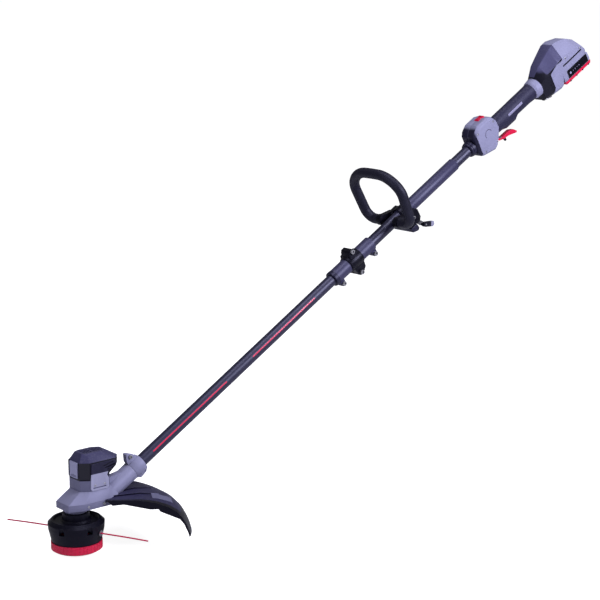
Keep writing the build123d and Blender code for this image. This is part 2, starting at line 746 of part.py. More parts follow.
def make_trigger_lock():
    """The safety paddle in the trigger's slot."""
    x, z = LOCK_PIVOT
    paddle = cross_rod(2.4, x, z, -2.3, 2.3)
    paddle += side_slab([(x - 2.3, z), (x + 2.3, z), (x + 5, z - 4), (x + 5, z - 12), (x + 1, z - 12.6),
                         (x - 1, z - 4)], 2.3)
    return SHAFT * (paddle - cross_rod(1.25, x, z, -20, 20))


def make_switch():
    """The main switch that the trigger presses."""
    return SHAFT * box(1318, 1346, -11, 11, -30, -15)


def grip_section(s, top, bottom, half):
    """An oval across the shaft."""
    return Plane.YZ.offset(s) * Pos(0, (top + bottom) / 2) * Ellipse(half, (top - bottom) / 2)


def make_grip():
    """The soft grip over the tube, fuller below the fingers, with a slot that the trigger enters."""
    low, high = GRIP
    sections = [(low, 21, -19, 18), (1392, 21, -21, 18), (1406, 21.5, -26.5, 18),
                (1438, 21.5, -27, 18), (1450, 21.5, -19.5, 17.5), (1500, 21.5, -20, 17.5),
                (high, 22, -22, 18)]
    body = loft([grip_section(*section) for section in sections], ruled=True)
    body -= shaft_rod(TUBE_R, 1300, 1600)
    body -= box(low - 1, 1384, -6.5, 6.5, -60, -8) + box(1380, 1441, -6.5, 6.5, -60, -19)
    return SHAFT * (body - control_solid(-BODY_GAP))


# ---- rear housing and battery -----------------------------------------------------------
# Stations along the housing: (s, half width, shoulder height, roof half width, roof height).
REAR_STATIONS = [(1540, 22, 8, 9, 28), (1562, 29, 18, 12, 44), (1604, HOUSING_HALF, 31, 15, 60),
                 (1618, HOUSING_HALF, 33, 16, 65), (1636, HOUSING_HALF, 33, 16, 65),
                 (1670, HOUSING_HALF, 29, 15, 53), (1692, 36, 20, 14, 36), (1706, 29, 2, 13, 8)]
REAR_FLOOR = -37.0
REAR_WALL = 2.8
BATTERY_BAY = [(1592, -37), (1601, -16), (1603, -4)]
HOOD_EDGE = [(1562, -40), (1573, -22), (1573, 15), (1596, 28), (1617, 28), (1625, 70)]


def rear_section(station, inset):
    """One cross-section of the rear housing: a box with its upper corners cut off."""
    s, half, shoulder, roof_half, roof = station
    half -= inset
    side = [(-half + 7, REAR_FLOOR + inset), (-half, REAR_FLOOR + inset + 8), (-half, shoulder - inset / 2),
            (-roof_half + inset / 2, roof - inset)]
    outline = side + [(-y, p) for y, p in reversed(side)]
    return Plane.YZ.offset(s) * Polygon(*outline, align=None)


def rear_solid(inset):
    """The rear housing's outside, or its hollow when there is an inset."""
    stations = [list(station) for station in REAR_STATIONS]
    stations[0][0] += inset
    stations[-1][0] -= inset
    block = loft([rear_section(station, inset) for station in stations], ruled=True)
    rise = [(s - inset, p) for s, p in BATTERY_BAY]
    rise[-1] = (BATTERY_BAY[-1][0] - inset, BATTERY_BAY[-1][1] + inset)
    bay = side_slab([(rise[0][0], -60)] + rise + [(1740, rise[-1][1]), (1740, -60)], 60)
    return block - bay


def hood_space(gap):
    """All that lies before the hood's rear edge, moved forwards by the gap."""
    edge = [(s - gap, p) for s, p in HOOD_EDGE]
    return side_slab([(1500, -40)] + edge + [(1500, 70)], 60)


def make_rear_shell(side):
    """One half of the housing over the battery, hollow, split on the shaft's plane."""
    shell = rear_solid(0) - rear_solid(REAR_WALL) - hood_space(0)
    for y in (-HOUSING_HALF, HOUSING_HALF):
        shell -= box(1613, 1688, y - 1.2, y + 1.2, 11, 15)
    low, high = (-60, -0.05) if side < 0 else (0.05, 60)
    return SHAFT * (shell & box(1500, 1800, low, high, -100, 100))


RING_PIVOT = (1552.0, -42.0)
RING_WIRE = 1.6


def make_front_hood():
    """The hood before the battery, with the strap ring's lug below."""
    s, p = RING_PIVOT
    hood = (rear_solid(0) - rear_solid(REAR_WALL)) & hood_space(BODY_GAP)
    hood += cross_rod(4.2, s, p, -3, 3) + box(s - 4.2, s + 4.2, -3, 3, p, -36.5)
    hood -= cross_rod(RING_WIRE + 0.05, s, p, -10, 10)
    return SHAFT * (hood - shaft_rod(TUBE_R, 1400, 1600))


def make_rear_collar():
    return SHAFT * along(turned([(TUBE_R, 1520.2), (20, 1520.2), (23, 1526), (24.5, 1539.8),
                                 (TUBE_R, 1539.8)]))


def make_controller_module():
    """The motor controller: its board, cooling fins and the battery's contact blades."""
    module = box(1606, 1690, -26, 26, 14, 16) + box(1612, 1660, -20, 20, 16, 19)
    for i in range(7):
        module += box(1612, 1660, -19 + 6 * i, -17 + 6 * i, 18, 34)
    return SHAFT * module


def make_strap_ring():
    """The wire ring for a shoulder strap, lying back under the rear housing."""
    corners = [(0, -9, 0), (20, -9, 0), (20, 9, 0), (0, 9, 0)]
    path = FilletPolyline(*corners, radius=3.5, close=True)
    wire = sweep(Plane(origin=path @ 0, z_dir=path % 0) * Circle(RING_WIRE), path=path)
    s, p = RING_PIVOT
    return SHAFT * Pos(s, 0, p) * Rot(0, 14, 0) * wire


def make_battery_case():
    """The battery's body, with a pocket in its rear face for the release button."""
    low, high = BATTERY
    case = side_slab([(low, -28), (high, -28), (high + 1, -20), (high - 1, -4.5), (low, -4.5)], 36)
    case -= box(low - 1, high + 9, -30, 30, -9, 0) & box(low - 1, low + 26, -60, 60, -60, 60)
    return SHAFT * (case - box(high - 12, high + 9, -12.4, 12.4, -21.4, -10.6))


def make_battery_latch():
    """The push button in the battery's rear face that releases its catch."""
    high = BATTERY[1]
    return SHAFT * box(high - 7, high + 3.4, -12, 12, -21, -11)


def make_battery_base():
    low, high = BATTERY
    base = side_slab([(low + 2, -35.5), (high - 2, -35.5), (high + 2, -28.2), (low, -28.2)], 36.5)
    return SHAFT * base


NODES = {
    "tap_knob": make_tap_knob,
    "spool_cover": make_spool_cover,
    "spool_housing": make_spool_housing,
    "line_spool": make_line_spool,
    "wound_line": make_wound_line,
    "tap_spring": make_tap_spring,
    "line_eyelets": make_line_eyelets,
    "line_tail_near": lambda: make_line_tail(LINE_AZIMUTH),
    "line_tail_far": lambda: make_line_tail(LINE_AZIMUTH + 180),
    "spindle": make_spindle,
    "spindle_bearings": make_spindle_bearings,
    "spool_gear": make_spool_gear,
    "motor_pinion": make_motor_pinion,
    "gear_plate": make_gear_plate,
    "motor_rotor": make_motor_rotor,
    "motor_can": make_motor_can,
    "head_base": make_head_base,
    "head_cover": make_head_cover,
    "motor_cover": make_motor_cover,
    "vent_panels": make_vent_panels,
    "front_grille": make_front_grille,
    "corner_panels": make_corner_panels,
    "neck_clamp": make_neck_clamp,
    "guard": make_guard,
    "cutter_blade": make_cutter_blade,
    "lower_tube": make_lower_tube,
    "upper_tube": make_upper_tube,
    "lower_plug": make_lower_plug,
    "upper_socket": make_upper_socket,
    "lower_cable": make_lower_cable,
    "upper_cable": make_upper_cable,
    "coupler_sleeve": make_coupler_sleeve,
    "coupler_end_ring": make_coupler_end_ring,
    "coupler_bolts": make_coupler_bolts,
    "coupler_clamp": make_coupler_clamp,
    "clamp_lever": make_clamp_lever,
    "handle_sleeve": make_handle_sleeve,
    "loop_handle": make_loop_tube,
    "handle_clamp": make_handle_clamp,
    "handle_jaw": make_handle_jaw,
    "handle_pin": make_handle_pin,
    "handle_lever": make_handle_lever,
    "control_shell_left": lambda: make_control_shell(-1),
    "control_shell_right": lambda: make_control_shell(1),
    "nose_collar": make_nose_collar,
    "speed_rocker": make_rocker,
    "trigger": make_trigger,
    "trigger_lock": make_trigger_lock,
    "control_pins": make_control_pins,
    "main_switch": make_switch,
    "grip": make_grip,
    "rear_collar": make_rear_collar,
    "front_hood": make_front_hood,
    "rear_shell_left": lambda: make_rear_shell(-1),
    "rear_shell_right": lambda: make_rear_shell(1),
    "battery_case": make_battery_case,
    "battery_base": make_battery_base,
    "battery_latch": make_battery_latch,
    "controller_module": make_controller_module,
    "strap_ring": make_strap_ring,
}

os.makedirs("parts", exist_ok=True)
for name, maker in NODES.items():
    export_step(maker(), f"parts/{name}.step")
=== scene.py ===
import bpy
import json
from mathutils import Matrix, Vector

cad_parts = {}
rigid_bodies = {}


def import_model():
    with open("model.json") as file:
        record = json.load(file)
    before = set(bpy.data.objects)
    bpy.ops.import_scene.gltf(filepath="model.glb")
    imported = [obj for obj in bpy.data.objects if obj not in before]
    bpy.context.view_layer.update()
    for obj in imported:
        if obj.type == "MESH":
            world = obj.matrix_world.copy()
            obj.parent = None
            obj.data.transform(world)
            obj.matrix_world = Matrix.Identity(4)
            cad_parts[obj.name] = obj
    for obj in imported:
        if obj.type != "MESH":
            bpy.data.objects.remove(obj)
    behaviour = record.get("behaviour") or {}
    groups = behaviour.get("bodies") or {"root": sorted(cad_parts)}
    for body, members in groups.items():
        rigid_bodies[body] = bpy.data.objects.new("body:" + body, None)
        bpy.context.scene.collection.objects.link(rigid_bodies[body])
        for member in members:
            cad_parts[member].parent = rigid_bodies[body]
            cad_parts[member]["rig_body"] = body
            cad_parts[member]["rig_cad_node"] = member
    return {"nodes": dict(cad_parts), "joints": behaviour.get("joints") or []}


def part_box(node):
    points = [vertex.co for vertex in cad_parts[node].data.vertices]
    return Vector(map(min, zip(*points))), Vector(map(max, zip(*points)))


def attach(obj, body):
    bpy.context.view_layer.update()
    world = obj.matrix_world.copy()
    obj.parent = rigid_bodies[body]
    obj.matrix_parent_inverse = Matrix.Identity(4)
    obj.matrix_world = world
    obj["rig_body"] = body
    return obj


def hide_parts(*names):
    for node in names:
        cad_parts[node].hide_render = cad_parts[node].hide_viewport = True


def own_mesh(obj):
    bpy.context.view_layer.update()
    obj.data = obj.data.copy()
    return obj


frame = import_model()

"""Cordless string trimmer: its finishes, its small dressed pieces, the studio and the camera.

Lengths are metres. Places on the shaft are (s, y, p): s along the shaft from the spool's axis,
y across it, and p square to it and upwards.
"""
import json
import logging
import math
from dataclasses import dataclass, field
from enum import Enum

import bpy
from mathutils import Matrix, Vector

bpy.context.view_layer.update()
LOG = logging.getLogger("trimmer")


# ---- places ------------------------------------------------------------------------------
@dataclass(frozen=True)
class Shaft:
    """The line of the two tubes, and places measured from it."""

    height: float = 0.060
    tube_radius: float = 0.013

    @property
    def direction(self) -> Vector:
        """The way the shaft rises, taken from the joint on which the loop handle slides."""
        slide = next(joint for joint in frame["joints"] if joint["name"] == "loop_slide")
        return Vector(slide["axis"]).normalized()

    @property
    def angle(self) -> float:
        """The shaft's rise above the horizontal, in radians."""
        return math.atan2(self.direction.z, self.direction.x)

    def matrix(self) -> Matrix:
        """The turn and shift that carry (s, y, p) to the object's own frame."""
        return Matrix.Translation((0, 0, self.height)) @ Matrix.Rotation(-self.angle, 4, "Y")


SHAFT = Shaft()


# ---- shader groups -------------------------------------------------------------------------
class Sheet:
    """A node tree with short calls for adding and joining its nodes."""

    def __init__(self, tree: bpy.types.NodeTree) -> None:
        """Keeps the tree to fill."""
        self.tree = tree

    def node(self, kind: str, **settings: object) -> bpy.types.Node:
        """Adds a node.

        Args:
            kind: the node's type.
            settings: its properties, by name.

        Returns:
            The new node.
        """
        made = self.tree.nodes.new(kind)
        for name, value in settings.items():
            setattr(made, name, value)
        return made

    def join(self, source: bpy.types.NodeSocket, target: bpy.types.NodeSocket) -> None:
        """Joins an output to an input."""
        self.tree.links.new(source, target)

    def math(self, operation: str, first: object, second: object = 0.0) -> bpy.types.NodeSocket:
        """A Math node.

        Args:
            operation: what it works out.
            first: its first value, a number or a socket.
            second: its second value.

        Returns:
            The node's output.
        """
        made = self.node("ShaderNodeMath", operation=operation)
        for value, socket in ((first, made.inputs[0]), (second, made.inputs[1])):
            if isinstance(value, bpy.types.NodeSocket):
                self.join(value, socket)
            else:
                socket.default_value = value
        return made.outputs[0]

    def blend(self, factor: object, first: object, second: object) -> bpy.types.NodeSocket:
        """A colour mix.

        Args:
            factor: how much of the second colour shows, a number or a socket.
            first: a colour or a socket.
            second: a colour or a socket.

        Returns:
            The mixed colour's socket.
        """
        made = self.node("ShaderNodeMix", data_type="RGBA")
        for value, index in ((factor, 0), (first, 6), (second, 7)):
            if isinstance(value, bpy.types.NodeSocket):
                self.join(value, made.inputs[index])
            elif index == 0:
                made.inputs[index].default_value = value
            else:
                made.inputs[index].default_value = (*value, 1.0)
        return made.outputs[2]

    def ramp(self, value: bpy.types.NodeSocket, low: float, high: float) -> bpy.types.NodeSocket:
        """A clamped rise from 0 at low to 1 at high.

        Args:
            value: what is read.
            low: where the rise starts.
            high: where it ends.

        Returns:
            The mask's socket.
        """
        made = self.node("ShaderNodeMapRange", clamp=True)
        self.join(value, made.inputs["Value"])
        made.inputs["From Min"].default_value = low
        made.inputs["From Max"].default_value = high
        return made.outputs["Result"]

    def step(self, value: bpy.types.NodeSocket, at: float, blur: float) -> bpy.types.NodeSocket:
        """A mask that turns from 0 to 1 at a value, blurred as far to each side of it."""
        return self.ramp(value, at - blur, at + blur)


DUST_COLOUR = (0.46, 0.44, 0.45)
DUST_FACING = (0.3, 1.0)        # upward share of the facing over which dust settles
DUST_SPECKS = (0.5, 0.72)       # part of the fine noise that shows as specks
SCUFF_RANGE = (0.56, 0.7)       # part of the stretched noise that shows as scratches


def new_group(name: str, inputs: dict[str, str], outputs: dict[str, str]) -> tuple:
    """Starts a shader node group.

    Args:
        name: the group's name.
        inputs: socket kinds by name.
        outputs: socket kinds by name.

    Returns:
        The group, its Sheet, and its input and output nodes.
    """
    tree = bpy.data.node_groups.new(name, "ShaderNodeTree")
    for direction, sockets in (("INPUT", inputs), ("OUTPUT", outputs)):
        for socket, kind in sockets.items():
            tree.interface.new_socket(socket, in_out=direction, socket_type="NodeSocket" + kind)
    sheet = Sheet(tree)
    return tree, sheet, sheet.node("NodeGroupInput"), sheet.node("NodeGroupOutput")


def grain_group() -> bpy.types.NodeTree:
    """The fine stipple of moulded plastic, as a height.

    Returns:
        The group.
    """
    tree, sheet, entry, leave = new_group(
        "moulded_grain", {"Vector": "Vector", "Scale": "Float"}, {"Height": "Float"})
    fine = sheet.node("ShaderNodeTexNoise")
    fine.inputs["Detail"].default_value = 4.0
    cells = sheet.node("ShaderNodeTexVoronoi", feature="SMOOTH_F1")
    for texture in (fine, cells):
        sheet.join(entry.outputs["Vector"], texture.inputs["Vector"])
        sheet.join(entry.outputs["Scale"], texture.inputs["Scale"])
    mixed = sheet.math("ADD", fine.outputs[0], cells.outputs["Distance"])
    sheet.join(mixed, leave.inputs["Height"])
    return tree


def drift_group() -> bpy.types.NodeTree:
    """Slow changes of tone over a surface, with a film of dust on what faces up.

    Returns:
        The group.
    """
    tree, sheet, entry, leave = new_group(
        "tone_and_dust",
        {"Vector": "Vector", "Normal": "Vector", "Color": "Color", "Drift": "Float", "Dust": "Float"},
        {"Color": "Color", "Dust": "Float"})
    slow = sheet.node("ShaderNodeTexNoise")
    slow.inputs["Scale"].default_value = 24.0
    slow.inputs["Detail"].default_value = 5.0
    fine = sheet.node("ShaderNodeTexNoise")
    fine.inputs["Scale"].default_value = 260.0
    fine.inputs["Detail"].default_value = 6.0
    for texture in (slow, fine):
        sheet.join(entry.outputs["Vector"], texture.inputs["Vector"])
    swing = sheet.math("SUBTRACT", slow.outputs[0], 0.5)
    swing = sheet.math("MULTIPLY", swing, entry.outputs["Drift"])
    bright = sheet.math("ADD", swing, 1.0)
    tone = sheet.node("ShaderNodeHueSaturation")
    sheet.join(entry.outputs["Color"], tone.inputs["Color"])
    sheet.join(bright, tone.inputs["Value"])
    split = sheet.node("ShaderNodeSeparateXYZ")
    sheet.join(entry.outputs["Normal"], split.inputs[0])
    upward = sheet.ramp(split.outputs["Z"], *DUST_FACING)
    specks = sheet.ramp(fine.outputs[0], *DUST_SPECKS)
    dust = sheet.math("MULTIPLY", sheet.math("MULTIPLY", upward, specks), entry.outputs["Dust"])
    dusty = sheet.blend(dust, tone.outputs["Color"], DUST_COLOUR)
    sheet.join(dusty, leave.inputs["Color"])
    sheet.join(dust, leave.inputs["Dust"])
    return tree


def scuff_group() -> bpy.types.NodeTree:
    """Fine scratches that run mostly one way, as a mask.

    Returns:
        The group.
    """
    tree, sheet, entry, leave = new_group(
        "scuffs", {"Vector": "Vector", "Scale": "Float"}, {"Mask": "Float"})
    stretch = sheet.node("ShaderNodeMapping")
    stretch.inputs["Scale"].default_value = (0.12, 1.0, 1.0)
    stretch.inputs["Rotation"].default_value = (0.2, SHAFT.angle, 0.4)
    sheet.join(entry.outputs["Vector"], stretch.inputs["Vector"])
    lines = sheet.node("ShaderNodeTexNoise")
    lines.inputs["Detail"].default_value = 8.0
    sheet.join(stretch.outputs[0], lines.inputs["Vector"])
    sheet.join(entry.outputs["Scale"], lines.inputs["Scale"])
    sheet.join(sheet.ramp(lines.outputs[0], *SCUFF_RANGE), leave.inputs["Mask"])
    return tree


GROUPS = {"grain": grain_group(), "drift": drift_group(), "scuffs": scuff_group()}


# ---- finishes ------------------------------------------------------------------------------
class Zone(Enum):
    """Where a finish changes to its second colour."""

    NONE = "none"
    MOTOR = "motor cover: dark above the waist, black on its upper sides"
    HOOD = "hood: black on its sides and below"
    # The control housing's navy end is partly its dark front shell and partly painted shade on the
    # faces turned from the key light.
    CONTROL = "control housing: black on the end that faces down the shaft"
    PANEL = "side panel: dark above the step where its vents are"
    # The guard's black ends and low rim are its own; its black on faces that don't face up is painted
    # shade.
    GUARD = "guard: slate on top, black on its edge and below"
    LEVER = "lever: black with a pale tip"
    CORD_TWIST = "a slow twist along the line"


COAT_ROUGHNESS = 0.12
SHINE_TINT = (0.72, 0.72, 1.0, 1.0)
SCUFF_SCALE = 420.0
DUST_ROUGHNESS = 0.5            # roughness added by a full film of dust
GRAIN_HEIGHT = 0.0004
WAIST = 0.1504                  # height at which the motor cover turns dark
ROOF_EDGE = 0.1870              # height at which its roof begins
PANEL_STEP = 0.1630             # height at which its side panels turn dark
BLUR = 0.0002                   # half-width of a painted edge
LEVER_TIP = 0.010               # length of the lever's pale tip
GUARD_END = 0.691               # angle from the shaft at which the guard's ends turn black, radians
GUARD_END_BLUR = 0.003
GUARD_LOW = (0.0805, 0.0795)    # height below which the guard is black
# On the guard this turn paints shade on the walls that don't face up; the hood's turn marks its own
# black sides.
GUARD_SHADE_TURN = (0.42, 0.36)       # upward share of a surface's facing, where each finish turns black
HOOD_TURN = (0.28, 0.22)
# Where the control housing's end facing down the shaft turns navy: partly its dark front shell, partly
# painted shade.
CONTROL_SHADE_TURN = (-0.45, -0.55)   # share that faces up the shaft
LINE_TWIST = 160.0              # turns per metre in the cutting line's tint


@dataclass(frozen=True)
class Finish:
    """One surface finish, and the material that shows it."""

    name: str
    colour: tuple[float, float, float]
    roughness: float
    metallic: float = 0.0
    coat: float = 0.0
    shine: float = 0.3
    grain_scale: float = 1800.0
    grain_depth: float = 0.1
    drift: float = 0.25
    dust: float = 0.12
    scuffs: float = 0.06
    zone: Zone = Zone.NONE
    second: tuple[float, float, float] = (0.02, 0.02, 0.03)
    third: tuple[float, float, float] = (0.006, 0.006, 0.012)

    def build(self) -> bpy.types.Material:
        """Makes the material.

        Returns:
            The material, ready to go into a slot.
        """
        material = bpy.data.materials.new(self.name)
        material.use_nodes = True
        sheet = Sheet(material.node_tree)
        shader = material.node_tree.nodes["Principled BSDF"]
        shader.inputs["Metallic"].default_value = self.metallic
        shader.inputs["Coat Weight"].default_value = self.coat
        shader.inputs["Specular IOR Level"].default_value = self.shine
        shader.inputs["Specular Tint"].default_value = SHINE_TINT
        shader.inputs["Coat Roughness"].default_value = COAT_ROUGHNESS
        place = sheet.node("ShaderNodeTexCoord")
        where = place.outputs["Object"]
        drift = sheet.node("ShaderNodeGroup", node_tree=GROUPS["drift"])
        sheet.join(where, drift.inputs["Vector"])
        sheet.join(place.outputs["Normal"], drift.inputs["Normal"])
        drift.inputs["Drift"].default_value = self.drift
        drift.inputs["Dust"].default_value = self.dust
        colour = self.zoned_colour(sheet, place)
        if isinstance(colour, bpy.types.NodeSocket):
            sheet.join(colour, drift.inputs["Color"])
        else:
            drift.inputs["Color"].default_value = (*colour, 1.0)
        sheet.join(drift.outputs["Color"], shader.inputs["Base Color"])
        scuffs = sheet.node("ShaderNodeGroup", node_tree=GROUPS["scuffs"])
        sheet.join(where, scuffs.inputs["Vector"])
        scuffs.inputs["Scale"].default_value = SCUFF_SCALE
        rubbed = sheet.math("MULTIPLY", scuffs.outputs["Mask"], self.scuffs)
        dusty = sheet.math("MULTIPLY", drift.outputs["Dust"], DUST_ROUGHNESS)
        rough = sheet.math("ADD", sheet.math("ADD", rubbed, dusty), self.roughness)
        sheet.join(rough, shader.inputs["Roughness"])
        grain = sheet.node("ShaderNodeGroup", node_tree=GROUPS["grain"])
        sheet.join(where, grain.inputs["Vector"])
        grain.inputs["Scale"].default_value = self.grain_scale
        bump = sheet.node("ShaderNodeBump")
        bump.inputs["Strength"].default_value = self.grain_depth
        bump.inputs["Distance"].default_value = GRAIN_HEIGHT
        sheet.join(grain.outputs["Height"], bump.inputs["Height"])
        sheet.join(bump.outputs[0], shader.inputs["Normal"])
        return material

    def zoned_colour(self, sheet: Sheet, place: bpy.types.Node) -> object:
        """Works out where the second and third colours show.

        Args:
            sheet: the material's tree.
            place: its texture coordinates.

        Returns:
            A colour, or the socket of one that changes over the surface.
        """
        if self.zone is Zone.NONE:
            return self.colour
        spot = sheet.node("ShaderNodeSeparateXYZ")
        sheet.join(place.outputs["Object"], spot.inputs[0])
        facing = sheet.node("ShaderNodeSeparateXYZ")
        sheet.join(place.outputs["Normal"], facing.inputs[0])
        height = spot.outputs["Z"]
        upward = facing.outputs["Z"]
        if self.zone is Zone.PANEL:
            return sheet.blend(sheet.step(height, PANEL_STEP, BLUR), self.colour, self.second)
        if self.zone is Zone.GUARD:
            return sheet.blend(self.guard_black_and_shade_mask(sheet, spot, upward), self.colour, self.third)
        if self.zone is Zone.LEVER:
            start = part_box("handle_lever")[1][0] - LEVER_TIP
            return sheet.blend(sheet.step(spot.outputs["X"], start, BLUR), self.colour, self.second)
        if self.zone is Zone.MOTOR:
            upper = sheet.blend(sheet.step(height, ROOF_EDGE, BLUR), self.third, self.second)
            return sheet.blend(sheet.step(height, WAIST, BLUR), self.colour, upper)
        if self.zone is Zone.HOOD:
            return sheet.blend(sheet.ramp(upward, *HOOD_TURN), self.colour, self.third)
        if self.zone is Zone.CONTROL:
            # Faces turned down the shaft go navy: partly the dark front shell, partly painted shade
            # where the key light doesn't reach.
            along = sheet.node("ShaderNodeVectorMath", operation="DOT_PRODUCT")
            sheet.join(place.outputs["Normal"], along.inputs[0])
            along.inputs[1].default_value = SHAFT.direction
            down = sheet.ramp(along.outputs["Value"], *CONTROL_SHADE_TURN)
            return sheet.blend(down, self.colour, self.third)
        turns = sheet.node("ShaderNodeTexWave", wave_type="BANDS", bands_direction="DIAGONAL")
        turns.inputs["Scale"].default_value = LINE_TWIST
        sheet.join(place.outputs["Object"], turns.inputs["Vector"])
        return sheet.blend(turns.outputs["Fac"], self.colour, self.second)

    def guard_black_and_shade_mask(self, sheet: Sheet, spot: bpy.types.Node, upward: bpy.types.NodeSocket
                   ) -> bpy.types.NodeSocket:
        """Where the guard is black: its two ends and its lower part, its own black moulding, and all
        that doesn't face up, which is painted shade.

        Args:
            sheet: the material's tree.
            spot: the place, split into its three numbers.
            upward: how far the surface faces up.

        Returns:
            The mask's socket.
        """
        turn = sheet.math("ABSOLUTE", sheet.math("ARCTAN2", spot.outputs["Y"], spot.outputs["X"]))
        edge = sheet.step(turn, GUARD_END, GUARD_END_BLUR)
        low = sheet.ramp(spot.outputs["Z"], *GUARD_LOW)
        # Faces that don't face up go black: painted shade on the guard's walls.
        below = sheet.ramp(upward, *GUARD_SHADE_TURN)
        return sheet.math("MAXIMUM", sheet.math("MAXIMUM", edge, low), below)


LAVENDER = (0.225, 0.225, 0.355)
SLATE = (0.058, 0.055, 0.125)
NAVY = (0.011, 0.010, 0.028)
BLACK = (0.0025, 0.0022, 0.006)
CRIMSON = (0.58, 0.006, 0.048)

FINISHES = {
    "housing": Finish("lavender_housing", LAVENDER, 0.46, grain_depth=0.22),
    "motor": Finish("two_tone_motor_cover", (0.125, 0.125, 0.21), 0.42, grain_depth=0.2,
                    zone=Zone.MOTOR, second=(0.036, 0.034, 0.085), third=BLACK),
    "base": Finish("gear_case_base", (0.150, 0.150, 0.245), 0.46, grain_depth=0.2),
    "hood": Finish("two_tone_hood", SLATE, 0.4, grain_depth=0.2, zone=Zone.HOOD, third=BLACK),
    # The control housing's navy third colour, on the end facing down the shaft, is partly painted
    # shade.
    "control": Finish("control_housing_and_painted_shade", LAVENDER, 0.42, grain_depth=0.2, zone=Zone.CONTROL,
                      third=NAVY),
    "panel": Finish("light_panel", (0.30, 0.30, 0.47), 0.5, grain_depth=0.25),
    "side_panel": Finish("two_tone_side_panel", (0.29, 0.29, 0.43), 0.45, grain_depth=0.2,
                         zone=Zone.PANEL, second=NAVY),
    "black": Finish("black_moulding", NAVY, 0.38, grain_depth=0.2, dust=0.08),
    "deep_black": Finish("deep_black_moulding", BLACK, 0.34, shine=0.18, grain_depth=0.16, dust=0.02),
    "gloss": Finish("gloss_black_inlay", BLACK, 0.16, coat=0.35, grain_depth=0.0, dust=0.03),
    # The guard's black on faces that don't face up is painted shade; its black ends and low rim are its
    # own.
    "guard": Finish("guard_moulding_and_painted_shade", (0.022, 0.020, 0.055), 0.4, shine=0.2, grain_depth=0.2,
                    dust=0.05, zone=Zone.GUARD, third=BLACK),
    "lever": Finish("two_tone_lever", BLACK, 0.35, grain_depth=0.1, zone=Zone.LEVER,
                    second=(0.25, 0.25, 0.36)),
    "blade": Finish("blackened_steel", (0.045, 0.045, 0.055), 0.45, metallic=1.0),
    "red": Finish("crimson_moulding", CRIMSON, 0.34, coat=0.25, grain_depth=0.08, dust=0.06),
    "line": Finish("cutting_line", (0.62, 0.012, 0.085), 0.3, coat=0.4, grain_depth=0.0, dust=0.0,
                   zone=Zone.CORD_TWIST, second=(0.50, 0.008, 0.06)),
    "wound": Finish("wound_cutting_line", (0.6, 0.01, 0.06), 0.35, coat=0.3, grain_depth=0.4),
    "tube": Finish("gloss_tube_paint", (0.009, 0.008, 0.027), 0.42, shine=0.6,
                   grain_depth=0.0, drift=0.1, dust=0.02, scuffs=0.03),
    "sleeve": Finish("sleeve_moulding", (0.026, 0.024, 0.064), 0.45, shine=0.5, grain_depth=0.05),
    "rubber": Finish("soft_grip", (0.014, 0.013, 0.036), 0.5, grain_scale=900, grain_depth=0.5),
    "foam": Finish("loop_handle_foam", (0.007, 0.0065, 0.016), 0.46, grain_scale=1400,
                   grain_depth=0.5, dust=0.1),
    "steel": Finish("zinc_steel", (0.46, 0.46, 0.50), 0.3, metallic=1.0, grain_depth=0.05,
                    scuffs=0.2),
    "dull_steel": Finish("motor_steel", (0.30, 0.30, 0.32), 0.45, metallic=1.0, scuffs=0.2),
    "alloy": Finish("cast_alloy", (0.52, 0.52, 0.54), 0.42, metallic=1.0, grain_depth=0.3),
    "nylon": Finish("natural_nylon", (0.68, 0.66, 0.58), 0.45, grain_depth=0.1),
    "cable": Finish("cable_sheath", (0.012, 0.012, 0.014), 0.5, grain_depth=0.1),
    "patch": Finish("guard_patch", (0.115, 0.113, 0.195), 0.45, grain_depth=0.15, dust=0.05),
    "light": Finish("pale_inlay", (0.25, 0.24, 0.38), 0.4, grain_depth=0.1, dust=0.02),
}
MATERIALS = {key: finish.build() for key, finish in FINISHES.items()}


PIECE_SMOOTHING = 32            # least turn between faces that stays sharp, degrees
WELD = 0.000005                 # points of a CAD mesh nearer than this are one
FLAT = 0.6                      # turn between faces that counts as flat, degrees


